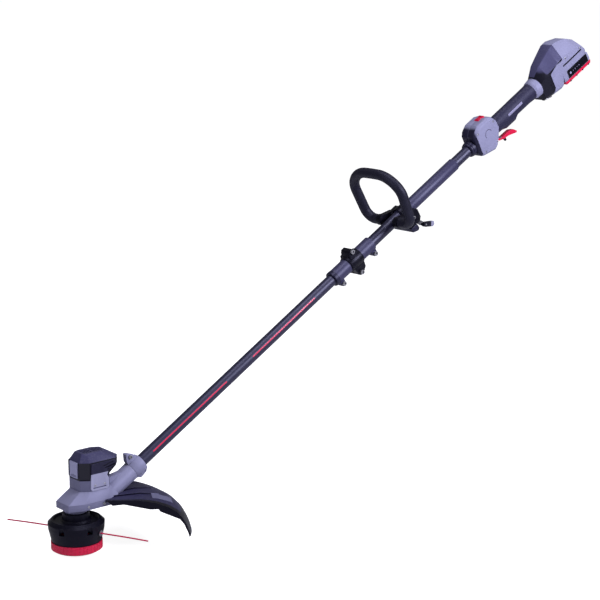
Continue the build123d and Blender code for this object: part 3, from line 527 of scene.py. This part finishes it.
# ---- workshop ------------------------------------------------------------------------------
class Workshop:
    """The hand tools: primitives shaped in edit mode, and settling a piece in its place."""

    @staticmethod
    def clear() -> None:
        """Deselects everything, in object mode."""
        if bpy.context.object and bpy.context.object.mode != "OBJECT":
            bpy.ops.object.mode_set(mode="OBJECT")
        bpy.ops.object.select_all(action="DESELECT")

    @staticmethod
    def pick_faces(obj: bpy.types.Object, test: object) -> None:
        """Selects the faces that pass a test, in face mode.

        Args:
            obj: the piece, in object mode.
            test: takes a face's centre and normal, and says whether it is wanted.
        """
        bpy.ops.object.mode_set(mode="EDIT")
        bpy.ops.mesh.select_mode(type="FACE")
        bpy.ops.mesh.select_all(action="DESELECT")
        bpy.ops.object.mode_set(mode="OBJECT")
        for face in obj.data.polygons:
            face.select = bool(test(face.center, face.normal))
        bpy.ops.object.mode_set(mode="EDIT")

    @classmethod
    def block(cls, name: str, centre: tuple, size: tuple, edge: float, segments: int = 2
              ) -> bpy.types.Object:
        """A block with rounded edges.

        Args:
            name: the piece's name.
            centre: its middle.
            size: its three lengths.
            edge: the rounding's width.
            segments: how many steps the rounding has.

        Returns:
            The block, unturned.
        """
        cls.clear()
        bpy.ops.mesh.primitive_cube_add(size=1.0, location=centre, scale=size)
        made = bpy.context.object
        made.name = name
        bpy.ops.object.transform_apply(location=True, rotation=True, scale=True)
        bpy.ops.object.mode_set(mode="EDIT")
        bpy.ops.mesh.select_all(action="SELECT")
        bpy.ops.mesh.bevel(offset=edge, segments=segments, affect="EDGES")
        bpy.ops.object.mode_set(mode="OBJECT")
        return made

    @classmethod
    def disc(cls, name: str, radius: float, low: float, high: float, edge: float, sides: int = 32
             ) -> bpy.types.Object:
        """A round or many-sided head about Z, its rims rounded.

        Args:
            name: the piece's name.
            radius: its radius.
            low: its lower face.
            high: its upper face.
            edge: the rims' rounding.
            sides: how many sides it has.

        Returns:
            The disc.
        """
        cls.clear()
        bpy.ops.mesh.primitive_cylinder_add(
            vertices=sides, radius=radius, depth=high - low, location=(0, 0, (low + high) / 2))
        made = bpy.context.object
        made.name = name
        bpy.ops.object.transform_apply(location=True, rotation=True, scale=True)
        cls.pick_faces(made, lambda centre, normal: abs(normal.z) > 0.9)
        bpy.ops.mesh.bevel(offset=edge, segments=2, affect="EDGES")
        bpy.ops.object.mode_set(mode="OBJECT")
        return made

    @classmethod
    def recess(cls, made: bpy.types.Object, rim: float, depth: float) -> None:
        """Sinks a recess into a head's upper face.

        Args:
            made: the head, standing about Z.
            rim: how far the recess stays from the edge.
            depth: how deep it goes.
        """
        top = max(vertex.co.z for vertex in made.data.vertices)
        cls.pick_faces(made, lambda centre, normal: normal.z > 0.9 and centre.z > top - 1e-5)
        bpy.ops.mesh.inset(thickness=rim)
        bpy.ops.mesh.extrude_region_move(TRANSFORM_OT_translate={"value": (0, 0, -depth)})
        bpy.ops.object.mode_set(mode="OBJECT")

    @classmethod
    def settle(cls, made: bpy.types.Object, place: Matrix, body: str, finish: str, slot: str
               ) -> None:
        """Puts a piece in its place in its mesh, dresses it and lets it ride.

        Args:
            made: the piece.
            place: the turn and shift from where it was made.
            body: the CAD body that it rides on.
            finish: the finish's key.
            slot: the record's material slot; not used.
        """
        cls.clear()
        made.data.transform(place)
        made.select_set(True)
        bpy.context.view_layer.objects.active = made
        bpy.ops.object.shade_smooth_by_angle(angle=math.radians(PIECE_SMOOTHING))
        made.data.materials.clear()
        made.data.materials.append(MATERIALS[finish])
        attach(made, body)
        LOG.info("piece %s rides on %s", made.name, body)

    @classmethod
    def fit(cls, made: bpy.types.Object, body: str, finish: str, slot: str) -> None:
        """Settles a piece that was made in the shaft's own frame."""
        cls.settle(made, SHAFT.matrix(), body, finish, slot)

    @staticmethod
    def copy(made: bpy.types.Object, name: str) -> bpy.types.Object:
        """A copy with its own mesh.

        Args:
            made: the piece to copy.
            name: the copy's name.

        Returns:
            The copy.
        """
        twin = made.copy()
        twin.data = made.data.copy()
        twin.name = name
        bpy.context.scene.collection.objects.link(twin)
        return twin


SIDES = ((-1.0, "near"), (1.0, "far"))
PROUD = 0.0002                      # how far a lamp or button stands out of its panel


@dataclass(frozen=True)
class Head:
    """The head of a screw, bolt, lamp or button, made about Z with a recess in its upper face."""

    radius: float
    high: float
    edge: float
    sides: int
    rim: float
    depth: float
    low: float = 0.0

    def build(self, name: str) -> bpy.types.Object:
        """Makes the head."""
        made = Workshop.disc(name, self.radius, self.low, self.high, self.edge, self.sides)
        Workshop.recess(made, self.rim, self.depth)
        return made


def across(y: float, side: float) -> Matrix:
    """Lays a head made about Z on a side face that far out, near (-1) or far (1)."""
    return Matrix.Translation((0, side * y, 0)) @ Matrix.Rotation(-side * math.pi / 2, 4, "X")


def on_side(s: float, p: float, face: float, side: float) -> Matrix:
    """Lays a head made about Z on a side face of a housing, at (s, p) on the shaft."""
    return SHAFT.matrix() @ Matrix.Translation((s, 0, p)) @ across(face, side)


class Assembly:
    """What every sub-assembly shares: dressing CAD nodes and rounding their edges."""

    dress: dict[str, str] = {}
    shells: tuple = ()                  # node, body, slot, rounding and edge angle of each

    def dress_nodes(self) -> None:
        """Puts each CAD node's finish into its material slots."""
        for node, finish in self.dress.items():
            obj = frame["nodes"][node]
            if not obj.material_slots:
                obj.data.materials.append(MATERIALS[finish])
            for entry in obj.material_slots:
                entry.material = MATERIALS[finish]

    def refine_all(self) -> None:
        """Refines every shell in the assembly's table."""
        for row in self.shells:
            self.refine(*row)

    def refine(self, node: str, body: str, slot: str, edge: float = 0.0, angle: float = 30.0
               ) -> bpy.types.Object:
        """Stands a merged, smoothly shaded copy in for a CAD node, with its edges rounded.

        Args:
            node: the CAD node.
            body: the body that it belongs to.
            slot: its material slot in the record; not used.
            edge: the rounding's width, or 0 for none.
            angle: the least turn between faces that counts as an edge, in degrees.

        Returns:
            The piece.
        """
        source = frame["nodes"][node]
        made = Workshop.copy(source, node + "_shell")
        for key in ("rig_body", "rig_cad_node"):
            if key in made:
                del made[key]
        made.parent = None
        Workshop.clear()
        made.select_set(True)
        bpy.context.view_layer.objects.active = made
        bpy.ops.object.mode_set(mode="EDIT")
        bpy.ops.mesh.select_mode(type="VERT")
        bpy.ops.mesh.select_all(action="SELECT")
        bpy.ops.mesh.remove_doubles(threshold=WELD)
        bpy.ops.mesh.customdata_custom_splitnormals_clear()
        if edge > 0:
            bpy.ops.mesh.dissolve_limited(angle_limit=math.radians(FLAT))
        bpy.ops.object.mode_set(mode="OBJECT")
        if edge > 0:
            rounding = made.modifiers.new("rounded_edges", "BEVEL")
            rounding.width = edge
            rounding.segments = 2
            rounding.limit_method = "ANGLE"
            rounding.angle_limit = math.radians(angle)
            rounding.harden_normals = False
            rounding.use_clamp_overlap = True
            bpy.ops.object.modifier_apply(modifier=rounding.name)
        bpy.ops.object.shade_smooth_by_angle(angle=math.radians(angle))
        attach(made, body)
        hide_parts(node)
        LOG.info("piece %s stands for %s", made.name, node)
        return made


@dataclass
class CuttingHead(Assembly):
    """The spool, its housing and cover, and the two ends of the line."""

    azimuth: float = -63.7
    line_diameter: float = 0.003
    route: tuple = ((0.050, 0.0453), (0.090, 0.0453), (0.128, 0.0450), (0.162, 0.0441))
    tap_travel: float = 0.005
    shells: tuple = (
        ("spool_cover", "cutting_head", "red_plastic", 0, 35),
        ("spool_housing", "cutting_head", "dark_plastic", 0, 35),
        ("tap_knob", "tap_feed", "dark_plastic", 0, 35),
    )
    dress: dict = field(default_factory=lambda: {
        "tap_knob": "deep_black", "spool_cover": "red", "spool_housing": "deep_black",
        "line_spool": "black", "wound_line": "wound", "tap_spring": "steel",
        "line_eyelets": "steel", "line_tail_near": "line", "line_tail_far": "line",
        "spindle": "steel", "spool_gear": "nylon", "spindle_bearings": "steel"})

    def build(self) -> None:
        """Makes the head's pieces."""
        self.dress_nodes()
        self.refine_all()
        for side, node in ((0.0, "line_tail_near"), (180.0, "line_tail_far")):
            self.line_end(node, math.radians(self.azimuth + side))
        self.spring()

    def spring(self) -> None:
        """The tap knob's spring, as a smoothly shaded copy with its own mesh."""
        made = self.refine("tap_spring", "tap_feed", "bright_steel", 0, 60)
        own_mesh(made)

    def line_end(self, node: str, turn: float) -> None:
        """One free end of the cutting line.

        Args:
            node: the CAD node that it stands for.
            turn: its direction seen from above, in radians.
        """
        curve = bpy.data.curves.new(node + "_curve", "CURVE")
        curve.dimensions = "3D"
        spline = curve.splines.new("NURBS")
        spline.points.add(len(self.route) - 1)
        for point, (reach, height) in zip(spline.points, self.route):
            point.co = (reach * math.cos(turn), reach * math.sin(turn), height, 1.0)
        spline.order_u = 3
        spline.use_endpoint_u = True
        curve.bevel_depth = self.line_diameter / 2
        curve.bevel_resolution = 4
        curve.use_fill_caps = True
        made = bpy.data.objects.new(node + "_line", curve)
        bpy.context.scene.collection.objects.link(made)
        curve.materials.append(MATERIALS["line"])
        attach(made, "cutting_head")
        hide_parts(node)
        reach, height = self.route[0]


def build_screws(name: str, placed: list, radius: float, body: str) -> None:
    """Sunk screws, modelled once and copied.

    Args:
        name: the screws' shared name.
        placed: each screw's own name and the matrix that puts it in its place.
        radius: the head's radius.
        body: the body that they ride on.
    """
    head = Head(radius, low=-0.0012, high=0.0005, edge=0.0003, sides=20, rim=radius * 0.45,
                depth=0.0009)
    first = head.build(name + "_pattern")
    for label, place in placed:
        Workshop.settle(Workshop.copy(first, label), place, body, "steel", "bright_steel")
    bpy.data.objects.remove(first)


def shaft_screws(name: str, spots: tuple, face: float, radius: float) -> None:
    """Screws on both sides of a housing on the shaft.

    Args:
        name: their shared name.
        spots: (s, p) for each.
        face: how far out the sides lie.
        radius: the heads' radius.
    """
    placed = []
    for s, p in spots:
        for side, _ in SIDES:
            placed.append((f"{name}_{len(placed)}", on_side(s, p, face, side)))
    build_screws(name, placed, radius, "upper_unit")


@dataclass
class MotorHead(Assembly):
    """The gear case and the motor's cover, with the neck and its clamp."""

    panel_screws: tuple = ((0.026, 0.1395), (0.049, 0.1395))
    base_screws: tuple = ((0.008, 0.0995), (0.045, 0.0995))
    panel_face: float = 0.0328
    panel_radius: float = 0.0022
    base_face: float = 0.0360
    base_radius: float = 0.0026
    lobe_face: float = 0.0060
    bolt_station: float = 0.168
    bolt_height: float = 0.030
    bolt: Head = Head(radius=0.0040, high=0.0034, edge=0.0004, sides=24, rim=0.0016, depth=0.0020)
    nut: Head = Head(radius=0.0046, high=0.0034, edge=0.0004, sides=6, rim=0.0020, depth=0.0010)
    # Where the deep black sheet under the roof slots lies: painted shade for the dark inside of the
    # motor.
    shade_sheet_place: tuple = (0.0375, 0, 0.1968)
    shade_sheet_size: tuple = (0.048, 0.026, 0.0012)
    shade_sheet_edge: float = 0.0003
    shade_sheet_cuts: int = 11
    shade_sheet_rib: float = 0.0006
    shade_sheet_sunk: float = 0.0005
    shells: tuple = (
        ("head_base", "lower_unit", "grey_plastic", 0.0012),
        ("head_cover", "lower_unit", "grey_plastic", 0.0010),
        ("motor_cover", "lower_unit", "grey_plastic", 0.0016),
        ("vent_panels", "lower_unit", "panel_plastic", 0.0005),
        ("front_grille", "lower_unit", "dark_plastic", 0.0005),
        ("neck_clamp", "lower_unit", "grey_plastic", 0.0010),
    )
    dress: dict = field(default_factory=lambda: {
        "head_base": "base", "head_cover": "housing", "motor_cover": "motor",
        "vent_panels": "side_panel", "front_grille": "panel", "corner_panels": "gloss",
        "neck_clamp": "housing", "gear_plate": "alloy", "motor_can": "dull_steel",
        "motor_rotor": "dull_steel", "motor_pinion": "steel"})

    def build(self) -> None:
        """Makes the motor head's pieces."""
        self.dress_nodes()
        self.refine_all()
        self.upright_screws("panel_screw", self.panel_screws, self.panel_face, self.panel_radius)
        self.upright_screws("base_screw", self.base_screws, self.base_face, self.base_radius)
        self.clamp_bolt()
        self.vent_shade_sheet()

    def upright_screws(self, name: str, spots: tuple, face: float, radius: float) -> None:
        """Screws on the upright sides.

        Args:
            name: their shared name.
            spots: (x, z) for each.
            face: how far out the side lies.
            radius: the head's radius.
        """
        placed = []
        for index, (x, z) in enumerate(spots):
            for side, word in SIDES:
                place = Matrix.Translation((x, 0, z)) @ across(face, side)
                placed.append((f"{name}_{word}_{index}", place))
        build_screws(name, placed, radius, "lower_unit")

    def clamp_bolt(self) -> None:
        """The neck clamp's cross bolt, and its nut on the far side."""
        spot = SHAFT.matrix() @ Matrix.Translation((self.bolt_station, 0, self.bolt_height))
        for head, name, side in ((self.bolt, "neck_bolt_head", -1.0), (self.nut, "neck_bolt_nut", 1.0)):
            made = head.build(name)
            place = spot @ across(self.lobe_face, side)
            Workshop.settle(made, place, "lower_unit", "dull_steel", "bright_steel")

    def vent_shade_sheet(self) -> None:
        """A deep black ribbed sheet behind the roof's slots, its ribs standing proud: painted shade for
        the motor's dark inside.
        """
        shade_sheet = Workshop.block("roof_vent_shade_sheet", self.shade_sheet_place, self.shade_sheet_size,
                                self.shade_sheet_edge)
        Workshop.pick_faces(shade_sheet, lambda centre, normal: normal.z > 0.9)
        bpy.ops.mesh.subdivide(number_cuts=self.shade_sheet_cuts)
        bpy.ops.mesh.inset(thickness=self.shade_sheet_rib, use_individual=True)
        bpy.ops.mesh.extrude_region_move(
            TRANSFORM_OT_translate={"value": (0, 0, -self.shade_sheet_sunk)})
        bpy.ops.object.mode_set(mode="OBJECT")
        # Deep black: painted shade seen through the roof slots.
        Workshop.settle(shade_sheet, Matrix.Identity(4), "lower_unit", "deep_black", "dark_plastic")


@dataclass
class Guard(Assembly):
    """The debris guard, its pale patch and its cutter blade."""

    patch_centre: tuple = (0.172, -29.0)
    patch_size: tuple = (0.040, 0.030)
    patch_start: float = 0.112          # height from which it is dropped on to the guard
    patch_gap: float = 0.0004
    patch_thickness: float = 0.0005
    shells: tuple = (("guard", "lower_unit", "guard_plastic", 0, 28),)
    dress: dict = field(default_factory=lambda: {"guard": "guard", "cutter_blade": "blade"})

    def build(self) -> None:
        """Makes the guard's pieces."""
        self.dress_nodes()
        self.refine_all()
        self.patch()

    def patch(self) -> None:
        """A thin pale patch that follows the guard's curved top."""
        reach, turn = self.patch_centre
        length, width = self.patch_size
        Workshop.clear()
        bpy.ops.mesh.primitive_grid_add(
            x_subdivisions=16, y_subdivisions=16, size=1.0, location=(reach, 0, self.patch_start))
        made = bpy.context.object
        made.name = "guard_patch"
        made.scale = (length, width, 1.0)
        bpy.ops.object.transform_apply(location=True, rotation=True, scale=True)
        made.data.transform(Matrix.Rotation(math.radians(turn), 4, "Z"))
        wrap = made.modifiers.new("lie_on_guard", "SHRINKWRAP")
        wrap.target = frame["nodes"]["guard"]
        wrap.wrap_method = "PROJECT"
        wrap.use_project_z = True
        wrap.use_negative_direction = True
        wrap.use_positive_direction = False
        wrap.offset = self.patch_gap
        bpy.ops.object.modifier_apply(modifier=wrap.name)
        skin = made.modifiers.new("thickness", "SOLIDIFY")
        skin.thickness = self.patch_thickness
        skin.offset = 1.0
        bpy.ops.object.modifier_apply(modifier=skin.name)
        Workshop.settle(made, Matrix.Identity(4), "lower_unit", "patch", "panel_plastic")


@dataclass
class Tubes(Assembly):
    """The two tubes, the stripes along the lower one and what joins them."""

    stripes: tuple = ((0.215, 0.438), (0.520, 0.722))
    stripe_turn: tuple = (196.0, 208.0)
    stripe_gap: float = 0.00012
    stripe_thickness: float = 0.0001
    shells: tuple = (
        ("lower_tube", "lower_unit", "tube_metal", 0, 35),
        ("upper_tube", "upper_unit", "tube_metal", 0, 35),
        ("handle_sleeve", "upper_unit", "grip_rubber", 0, 35),
        ("coupler_sleeve", "upper_unit", "dark_plastic", 0, 35),
        ("coupler_clamp", "upper_unit", "dark_plastic", 0.0010, 35),
    )
    dress: dict = field(default_factory=lambda: {
        "lower_tube": "tube", "upper_tube": "tube", "lower_plug": "black", "upper_socket": "black",
        "lower_cable": "cable", "upper_cable": "cable", "coupler_sleeve": "sleeve",
        "coupler_end_ring": "black", "coupler_bolts": "dull_steel", "coupler_clamp": "deep_black",
        "clamp_lever": "deep_black", "handle_sleeve": "sleeve"})

    def build(self) -> None:
        """Makes the tubes' pieces."""
        self.dress_nodes()
        self.refine_all()
        for index, (low, high) in enumerate(self.stripes):
            self.stripe(f"tube_stripe_{index}", low, high)

    def stripe(self, name: str, low: float, high: float) -> None:
        """A printed red stripe: a narrow strip cut from a thin shell round the tube.

        Args:
            name: the piece's name.
            low: where it starts along the shaft.
            high: where it ends.
        """
        Workshop.clear()
        bpy.ops.mesh.primitive_cylinder_add(
            vertices=120, radius=SHAFT.tube_radius + self.stripe_gap, depth=high - low,
            end_fill_type="NOTHING")
        made = bpy.context.object
        made.name = name
        start, stop = (math.radians(turn) for turn in self.stripe_turn)
        Workshop.pick_faces(
            made, lambda centre, normal: not start < math.atan2(centre.x, centre.y) % math.tau < stop)
        bpy.ops.mesh.delete(type="FACE")
        bpy.ops.mesh.select_all(action="SELECT")
        bpy.ops.mesh.subdivide(number_cuts=1)
        bpy.ops.object.mode_set(mode="OBJECT")
        skin = made.modifiers.new("thickness", "SOLIDIFY")
        skin.thickness = self.stripe_thickness
        skin.offset = 1.0
        bpy.ops.object.modifier_apply(modifier=skin.name)
        lay = Matrix.Translation(((low + high) / 2, 0, 0)) @ Matrix.Rotation(math.pi / 2, 4, "Y")
        Workshop.settle(made, SHAFT.matrix() @ lay, "lower_unit", "red", "red_plastic")


@dataclass
class LoopHandle(Assembly):
    """The loop handle, its clamp and its quick lever."""

    bolt_place: tuple = (1.038, -0.010, 0.031)
    bolt: Head = Head(radius=0.0034, high=0.0022, edge=0.0004, sides=24, rim=0.0012, depth=0.0014)
    shells: tuple = (
        ("loop_handle", "loop", "tube_metal", 0, 35),
        ("handle_clamp", "loop", "dark_plastic", 0.0014, 35),
        ("handle_jaw", "loop", "dark_plastic", 0.0014, 35),
        ("handle_lever", "loop_lever", "grey_plastic", 0.0010, 35),
    )
    dress: dict = field(default_factory=lambda: {
        "loop_handle": "foam", "handle_clamp": "deep_black", "handle_jaw": "black",
        "handle_pin": "dull_steel", "handle_lever": "lever"})

    def build(self) -> None:
        """Makes the loop handle's pieces."""
        self.dress_nodes()
        self.refine_all()
        for side, word in SIDES:
            bolt = self.bolt.build(f"clamp_bolt_{word}")
            spot = on_side(*self.bolt_place, side)
            Workshop.settle(bolt, spot, "loop", "dull_steel", "bright_steel")


@dataclass
class Controls(Assembly):
    """The control housing, its switches and the rear grip."""

    side_face: float = 0.0249
    screw_radius: float = 0.0024
    screw_spots: tuple = ((1.304, 0.030), (1.306, -0.020), (1.360, 0.028), (1.350, -0.022))
    inlay: tuple = (1.443, 0.0172, 0.005)
    inlay_size: tuple = (0.054, 0.0016, 0.0062)
    arc_centre: tuple = (1.334, 0.010)
    arc_radius: float = 0.011
    arc_thickness: float = 0.0006
    arc_face: float = 0.0250
    rib_stations: tuple = (1.3365, 1.3395, 1.3505, 1.3535)
    rib_height: float = 0.0458
    rib_size: tuple = (0.0012, 0.011, 0.0014)
    rib_edge: float = 0.0004
    shells: tuple = (
        ("control_shell_left", "upper_unit", "grey_plastic", 0.0018, 25),
        ("control_shell_right", "upper_unit", "grey_plastic", 0.0018, 25),
        ("speed_rocker", "speed_switch", "red_plastic", 0.0012, 25),
        ("trigger", "trigger", "red_plastic", 0.0012, 25),
        ("grip", "upper_unit", "grip_rubber", 0, 35),
        ("rear_collar", "upper_unit", "dark_plastic", 0, 35),
        ("nose_collar", "upper_unit", "dark_plastic", 0, 35),
    )
    dress: dict = field(default_factory=lambda: {
        "control_shell_left": "control", "control_shell_right": "control", "nose_collar": "black",
        "speed_rocker": "red", "trigger": "red", "trigger_lock": "deep_black",
        "control_pins": "steel", "main_switch": "black", "grip": "rubber", "rear_collar": "housing"})

    def build(self) -> None:
        """Makes the controls' pieces."""
        self.dress_nodes()
        self.refine_all()
        shaft_screws("control_screw", self.screw_spots, self.side_face, self.screw_radius)
        for side, word in SIDES:
            self.grip_inlay(side, word)
            self.side_arc(side, word)
        self.rocker_ribs()

    def grip_inlay(self, side: float, word: str) -> None:
        """A pale bar let into the grip's side.

        Args:
            side: -1 for the near side, 1 for the far side.
            word: the side's name.
        """
        s, y, p = self.inlay
        bar = Workshop.block(f"grip_inlay_{word}", (s, side * y, p), self.inlay_size, 0.0006, 3)
        Workshop.fit(bar, "upper_unit", "light", "panel_plastic")

    def side_arc(self, side: float, word: str) -> None:
        """A thin raised half ring on the housing's side.

        Args:
            side: -1 for the near side, 1 for the far side.
            word: the side's name.
        """
        s, p = self.arc_centre
        Workshop.clear()
        bpy.ops.mesh.primitive_torus_add(
            major_radius=self.arc_radius, minor_radius=self.arc_thickness, major_segments=48,
            minor_segments=8)
        arc = bpy.context.object
        arc.name = f"side_arc_{word}"
        bpy.ops.object.mode_set(mode="EDIT")
        bpy.ops.mesh.select_all(action="SELECT")
        bpy.ops.mesh.bisect(plane_co=(0, 0, 0), plane_no=(-0.3, 1, 0), clear_inner=True, use_fill=True)
        bpy.ops.object.mode_set(mode="OBJECT")
        place = on_side(s, p, self.arc_face, side)
        Workshop.settle(arc, place, "upper_unit", "black", "dark_plastic")

    def rocker_ribs(self) -> None:
        """Raised ribs across the speed switch."""
        for index, s in enumerate(self.rib_stations):
            rib = Workshop.block(f"rocker_rib_{index}", (s, 0, self.rib_height), self.rib_size,
                                 self.rib_edge)
            Workshop.fit(rib, "speed_switch", "red", "red_plastic")


@dataclass
class RearHousing(Assembly):
    """The housing behind the grip, its hood and the strap's ring."""

    side_face: float = 0.0379
    screw_radius: float = 0.0024
    screw_spots: tuple = ((1.628, 0.026), (1.684, 0.0195))
    # A deep black strip along each side: painted shade in the side groove.
    groove_shade_strip: tuple = (1.650, 0.0374, 0.013)
    groove_shade_size: tuple = (0.073, 0.0012, 0.0036)
    shells: tuple = (
        ("front_hood", "upper_unit", "grey_plastic", 0.0014, 20),
        ("rear_shell_left", "upper_unit", "grey_plastic", 0.0014, 20),
        ("rear_shell_right", "upper_unit", "grey_plastic", 0.0014, 20),
        ("strap_ring", "strap_ring", "bright_steel", 0, 40),
    )
    dress: dict = field(default_factory=lambda: {
        "front_hood": "hood", "rear_shell_left": "housing", "rear_shell_right": "housing",
        "controller_module": "alloy", "strap_ring": "steel"})

    def build(self) -> None:
        """Makes the rear housing's pieces."""
        self.dress_nodes()
        self.refine_all()
        shaft_screws("rear_screw", self.screw_spots, self.side_face, self.screw_radius)
        # Deep black strips on both sides: painted shade in the side grooves.
        s, y, p = self.groove_shade_strip
        for side, word in SIDES:
            bar = Workshop.block(f"side_groove_shade_{word}", (s, side * y, p), self.groove_shade_size, 0.0004)
            Workshop.fit(bar, "upper_unit", "deep_black", "dark_plastic")


@dataclass
class Battery(Assembly):
    """The battery, its side labels, its charge gauge and its release button."""

    label: tuple = (1.6585, 0.0362, -0.0163)
    label_size: tuple = (0.078, 0.0010, 0.0205)
    label_rim: float = 0.0012
    label_sunk: float = 0.0003
    button_station: float = 1.630
    button: Head = Head(radius=0.0030, low=-0.0004, high=0.0007, edge=0.0003, sides=24, rim=0.0008,
                        depth=0.0002)
    lamp: Head = Head(radius=0.0011, low=-0.0004, high=0.0004, edge=0.0002, sides=16, rim=0.0003,
                      depth=0.0001)
    lamps: tuple = (1.640, 1.648, 1.656, 1.664)
    # Deep black blocks in the base's notches: painted shade in those recesses.
    notches: tuple = (1.622, 1.646, 1.670, 1.694)
    notch_out: float = 0.0365
    notch_height: float = -0.0342
    notch_size: tuple = (0.0040, 0.0012, 0.0030)
    edge: float = 0.0004
    shells: tuple = (
        ("battery_case", "battery", "dark_plastic", 0.0014, 25),
        ("battery_base", "battery", "red_plastic", 0.0016, 25),
    )
    dress: dict = field(default_factory=lambda: {
        "battery_case": "housing", "battery_base": "red", "battery_latch": "red"})

    def build(self) -> None:
        """Makes the battery's pieces."""
        self.dress_nodes()
        self.refine_all()
        for side, word in SIDES:
            self.side_label(side, word)
            # Deep black blocks in each notch: painted shade in the recesses.
            for index, s in enumerate(self.notches):
                place = (s, side * self.notch_out, self.notch_height)
                notch_shade = Workshop.block(f"base_notch_shade_{word}_{index}", place, self.notch_size, self.edge)
                Workshop.fit(notch_shade, "battery", "deep_black", "dark_plastic")

    def side_label(self, side: float, word: str) -> None:
        """A gloss black side panel with a rim, a test button and four charge lamps.

        Args:
            side: -1 for the near side, 1 for the far side.
            word: the side's name.
        """
        s, y, p = self.label
        panel = Workshop.block(f"battery_panel_{word}", (s, side * y, p), self.label_size, self.edge)
        Workshop.pick_faces(panel, lambda centre, normal: normal.y * side > 0.9)
        bpy.ops.mesh.inset(thickness=self.label_rim)
        bpy.ops.mesh.extrude_region_move(
            TRANSFORM_OT_translate={"value": (0, -side * self.label_sunk, 0)})
        bpy.ops.object.mode_set(mode="OBJECT")
        Workshop.fit(panel, "battery", "gloss", "gloss_black")
        for index, station in enumerate(self.lamps):
            lamp = self.lamp.build(f"charge_lamp_{word}_{index}")
            spot = on_side(station, p, y + PROUD, side)
            Workshop.settle(lamp, spot, "battery", "light", "panel_plastic")
        button = self.button.build(f"test_button_{word}")
        spot = on_side(self.button_station, p, y + PROUD, side)
        Workshop.settle(button, spot, "battery", "light", "panel_plastic")


@dataclass(frozen=True)
class Studio:
    """The pale floor, the soft lights, the surrounding light and the camera."""

    camera_at: tuple = (-1.7165, -2.7372, 1.1906)
    turn: float = -0.69919
    pitch: float = 0.208864
    roll: float = -0.0031
    lens: float = 101.16
    floor_size: float = 120.0
    floor_glow: float = 0.90
    floor_colour: tuple = (0.62, 0.62, 0.64, 1.0)
    surround: float = 0.17
    backdrop: float = 1.05
    lamp_colour: tuple = (0.90, 0.90, 1.0)
    lamps: tuple = (                    # name, place, what it faces, side and watts of each
        ("key_light", (2.0, -3.0, 2.2), (0.6, 0, 0.4), 1.3, 150.0),
        ("top_light", (0.4, -0.4, 3.6), (0.6, 0, 0.4), 1.4, 52.0),
        ("left_light", (-3.0, -0.4, 1.5), (0.5, 0, 0.4), 0.9, 34.0),
    )

    def build(self) -> None:
        """Sets everything up."""
        self.floor()
        self.world()
        for row in self.lamps:
            self.lamp(*row)
        self.camera()
        bpy.context.scene.view_settings.view_transform = "Standard"

    def floor(self) -> None:
        """A pale floor that fades into the surrounding light."""
        Workshop.clear()
        bpy.ops.mesh.primitive_plane_add(size=self.floor_size, location=(0, 0, -0.0002))
        plane = bpy.context.object
        plane.name = "studio_floor"
        material = bpy.data.materials.new("pale_floor")
        material.use_nodes = True
        shader = material.node_tree.nodes["Principled BSDF"]
        shader.inputs["Base Color"].default_value = self.floor_colour
        shader.inputs["Roughness"].default_value = 0.9
        shader.inputs["Specular IOR Level"].default_value = 0.1
        shader.inputs["Emission Color"].default_value = (1.0, 1.0, 1.0, 1.0)
        sheet = Sheet(material.node_tree)
        path = sheet.node("ShaderNodeLightPath")
        glow = sheet.math("MULTIPLY", path.outputs["Is Camera Ray"], self.floor_glow)
        sheet.join(glow, shader.inputs["Emission Strength"])
        plane.data.materials.append(material)

    def world(self) -> None:
        """White behind the object, and a softer light on it."""
        world = bpy.data.worlds.new("studio_world")
        world.use_nodes = True
        sheet = Sheet(world.node_tree)
        back = world.node_tree.nodes["Background"]
        back.inputs["Color"].default_value = (1.0, 1.0, 1.0, 1.0)
        path = sheet.node("ShaderNodeLightPath")
        seen = sheet.math("MULTIPLY", path.outputs["Is Camera Ray"], self.backdrop - self.surround)
        sheet.join(sheet.math("ADD", seen, self.surround), back.inputs["Strength"])
        bpy.context.scene.world = world

    def lamp(self, name: str, place: tuple, aim: tuple, size: float, power: float) -> None:
        """A soft square lamp.

        Args:
            name: its name.
            place: where it stands.
            aim: what it faces.
            size: its side.
            power: its power in watts.
        """
        data = bpy.data.lights.new(name, "AREA")
        data.size = size
        data.energy = power
        data.color = self.lamp_colour
        lamp = bpy.data.objects.new(name, data)
        lamp.location = place
        lamp.rotation_euler = (Vector(aim) - Vector(place)).to_track_quat("-Z", "Y").to_euler()
        bpy.context.scene.collection.objects.link(lamp)

    def camera(self) -> None:
        """The camera."""
        data = bpy.data.cameras.new("studio_camera")
        data.lens = self.lens
        data.sensor_width = 36.0
        data.clip_end = 100.0
        camera = bpy.data.objects.new("studio_camera", data)
        bpy.context.scene.collection.objects.link(camera)
        upright = Matrix.Rotation(self.turn, 4, "Z") @ Matrix.Rotation(math.pi / 2 - self.pitch, 4, "X")
        level = Matrix.Translation(self.camera_at) @ upright
        camera.matrix_world = level @ Matrix.Rotation(self.roll, 4, "Z")
        bpy.context.scene.camera = camera


def main() -> None:
    """Builds every sub-assembly in order, then the studio."""
    logging.basicConfig(level=logging.INFO, format="%(name)s %(message)s")
    assemblies = [CuttingHead(), MotorHead(), Guard(), Tubes(), LoopHandle(), Controls(), RearHousing(),
                  Battery()]
    for assembly in assemblies:
        LOG.info("assembly %s", type(assembly).__name__)
        assembly.build()
    dressed = set().union(*(assembly.dress for assembly in assemblies))
    bare = sorted(set(frame["nodes"]) - dressed)
    if bare:
        LOG.warning("nodes without a finish: %s", bare)
    Studio().build()


if __name__ == "__main__":
    main()
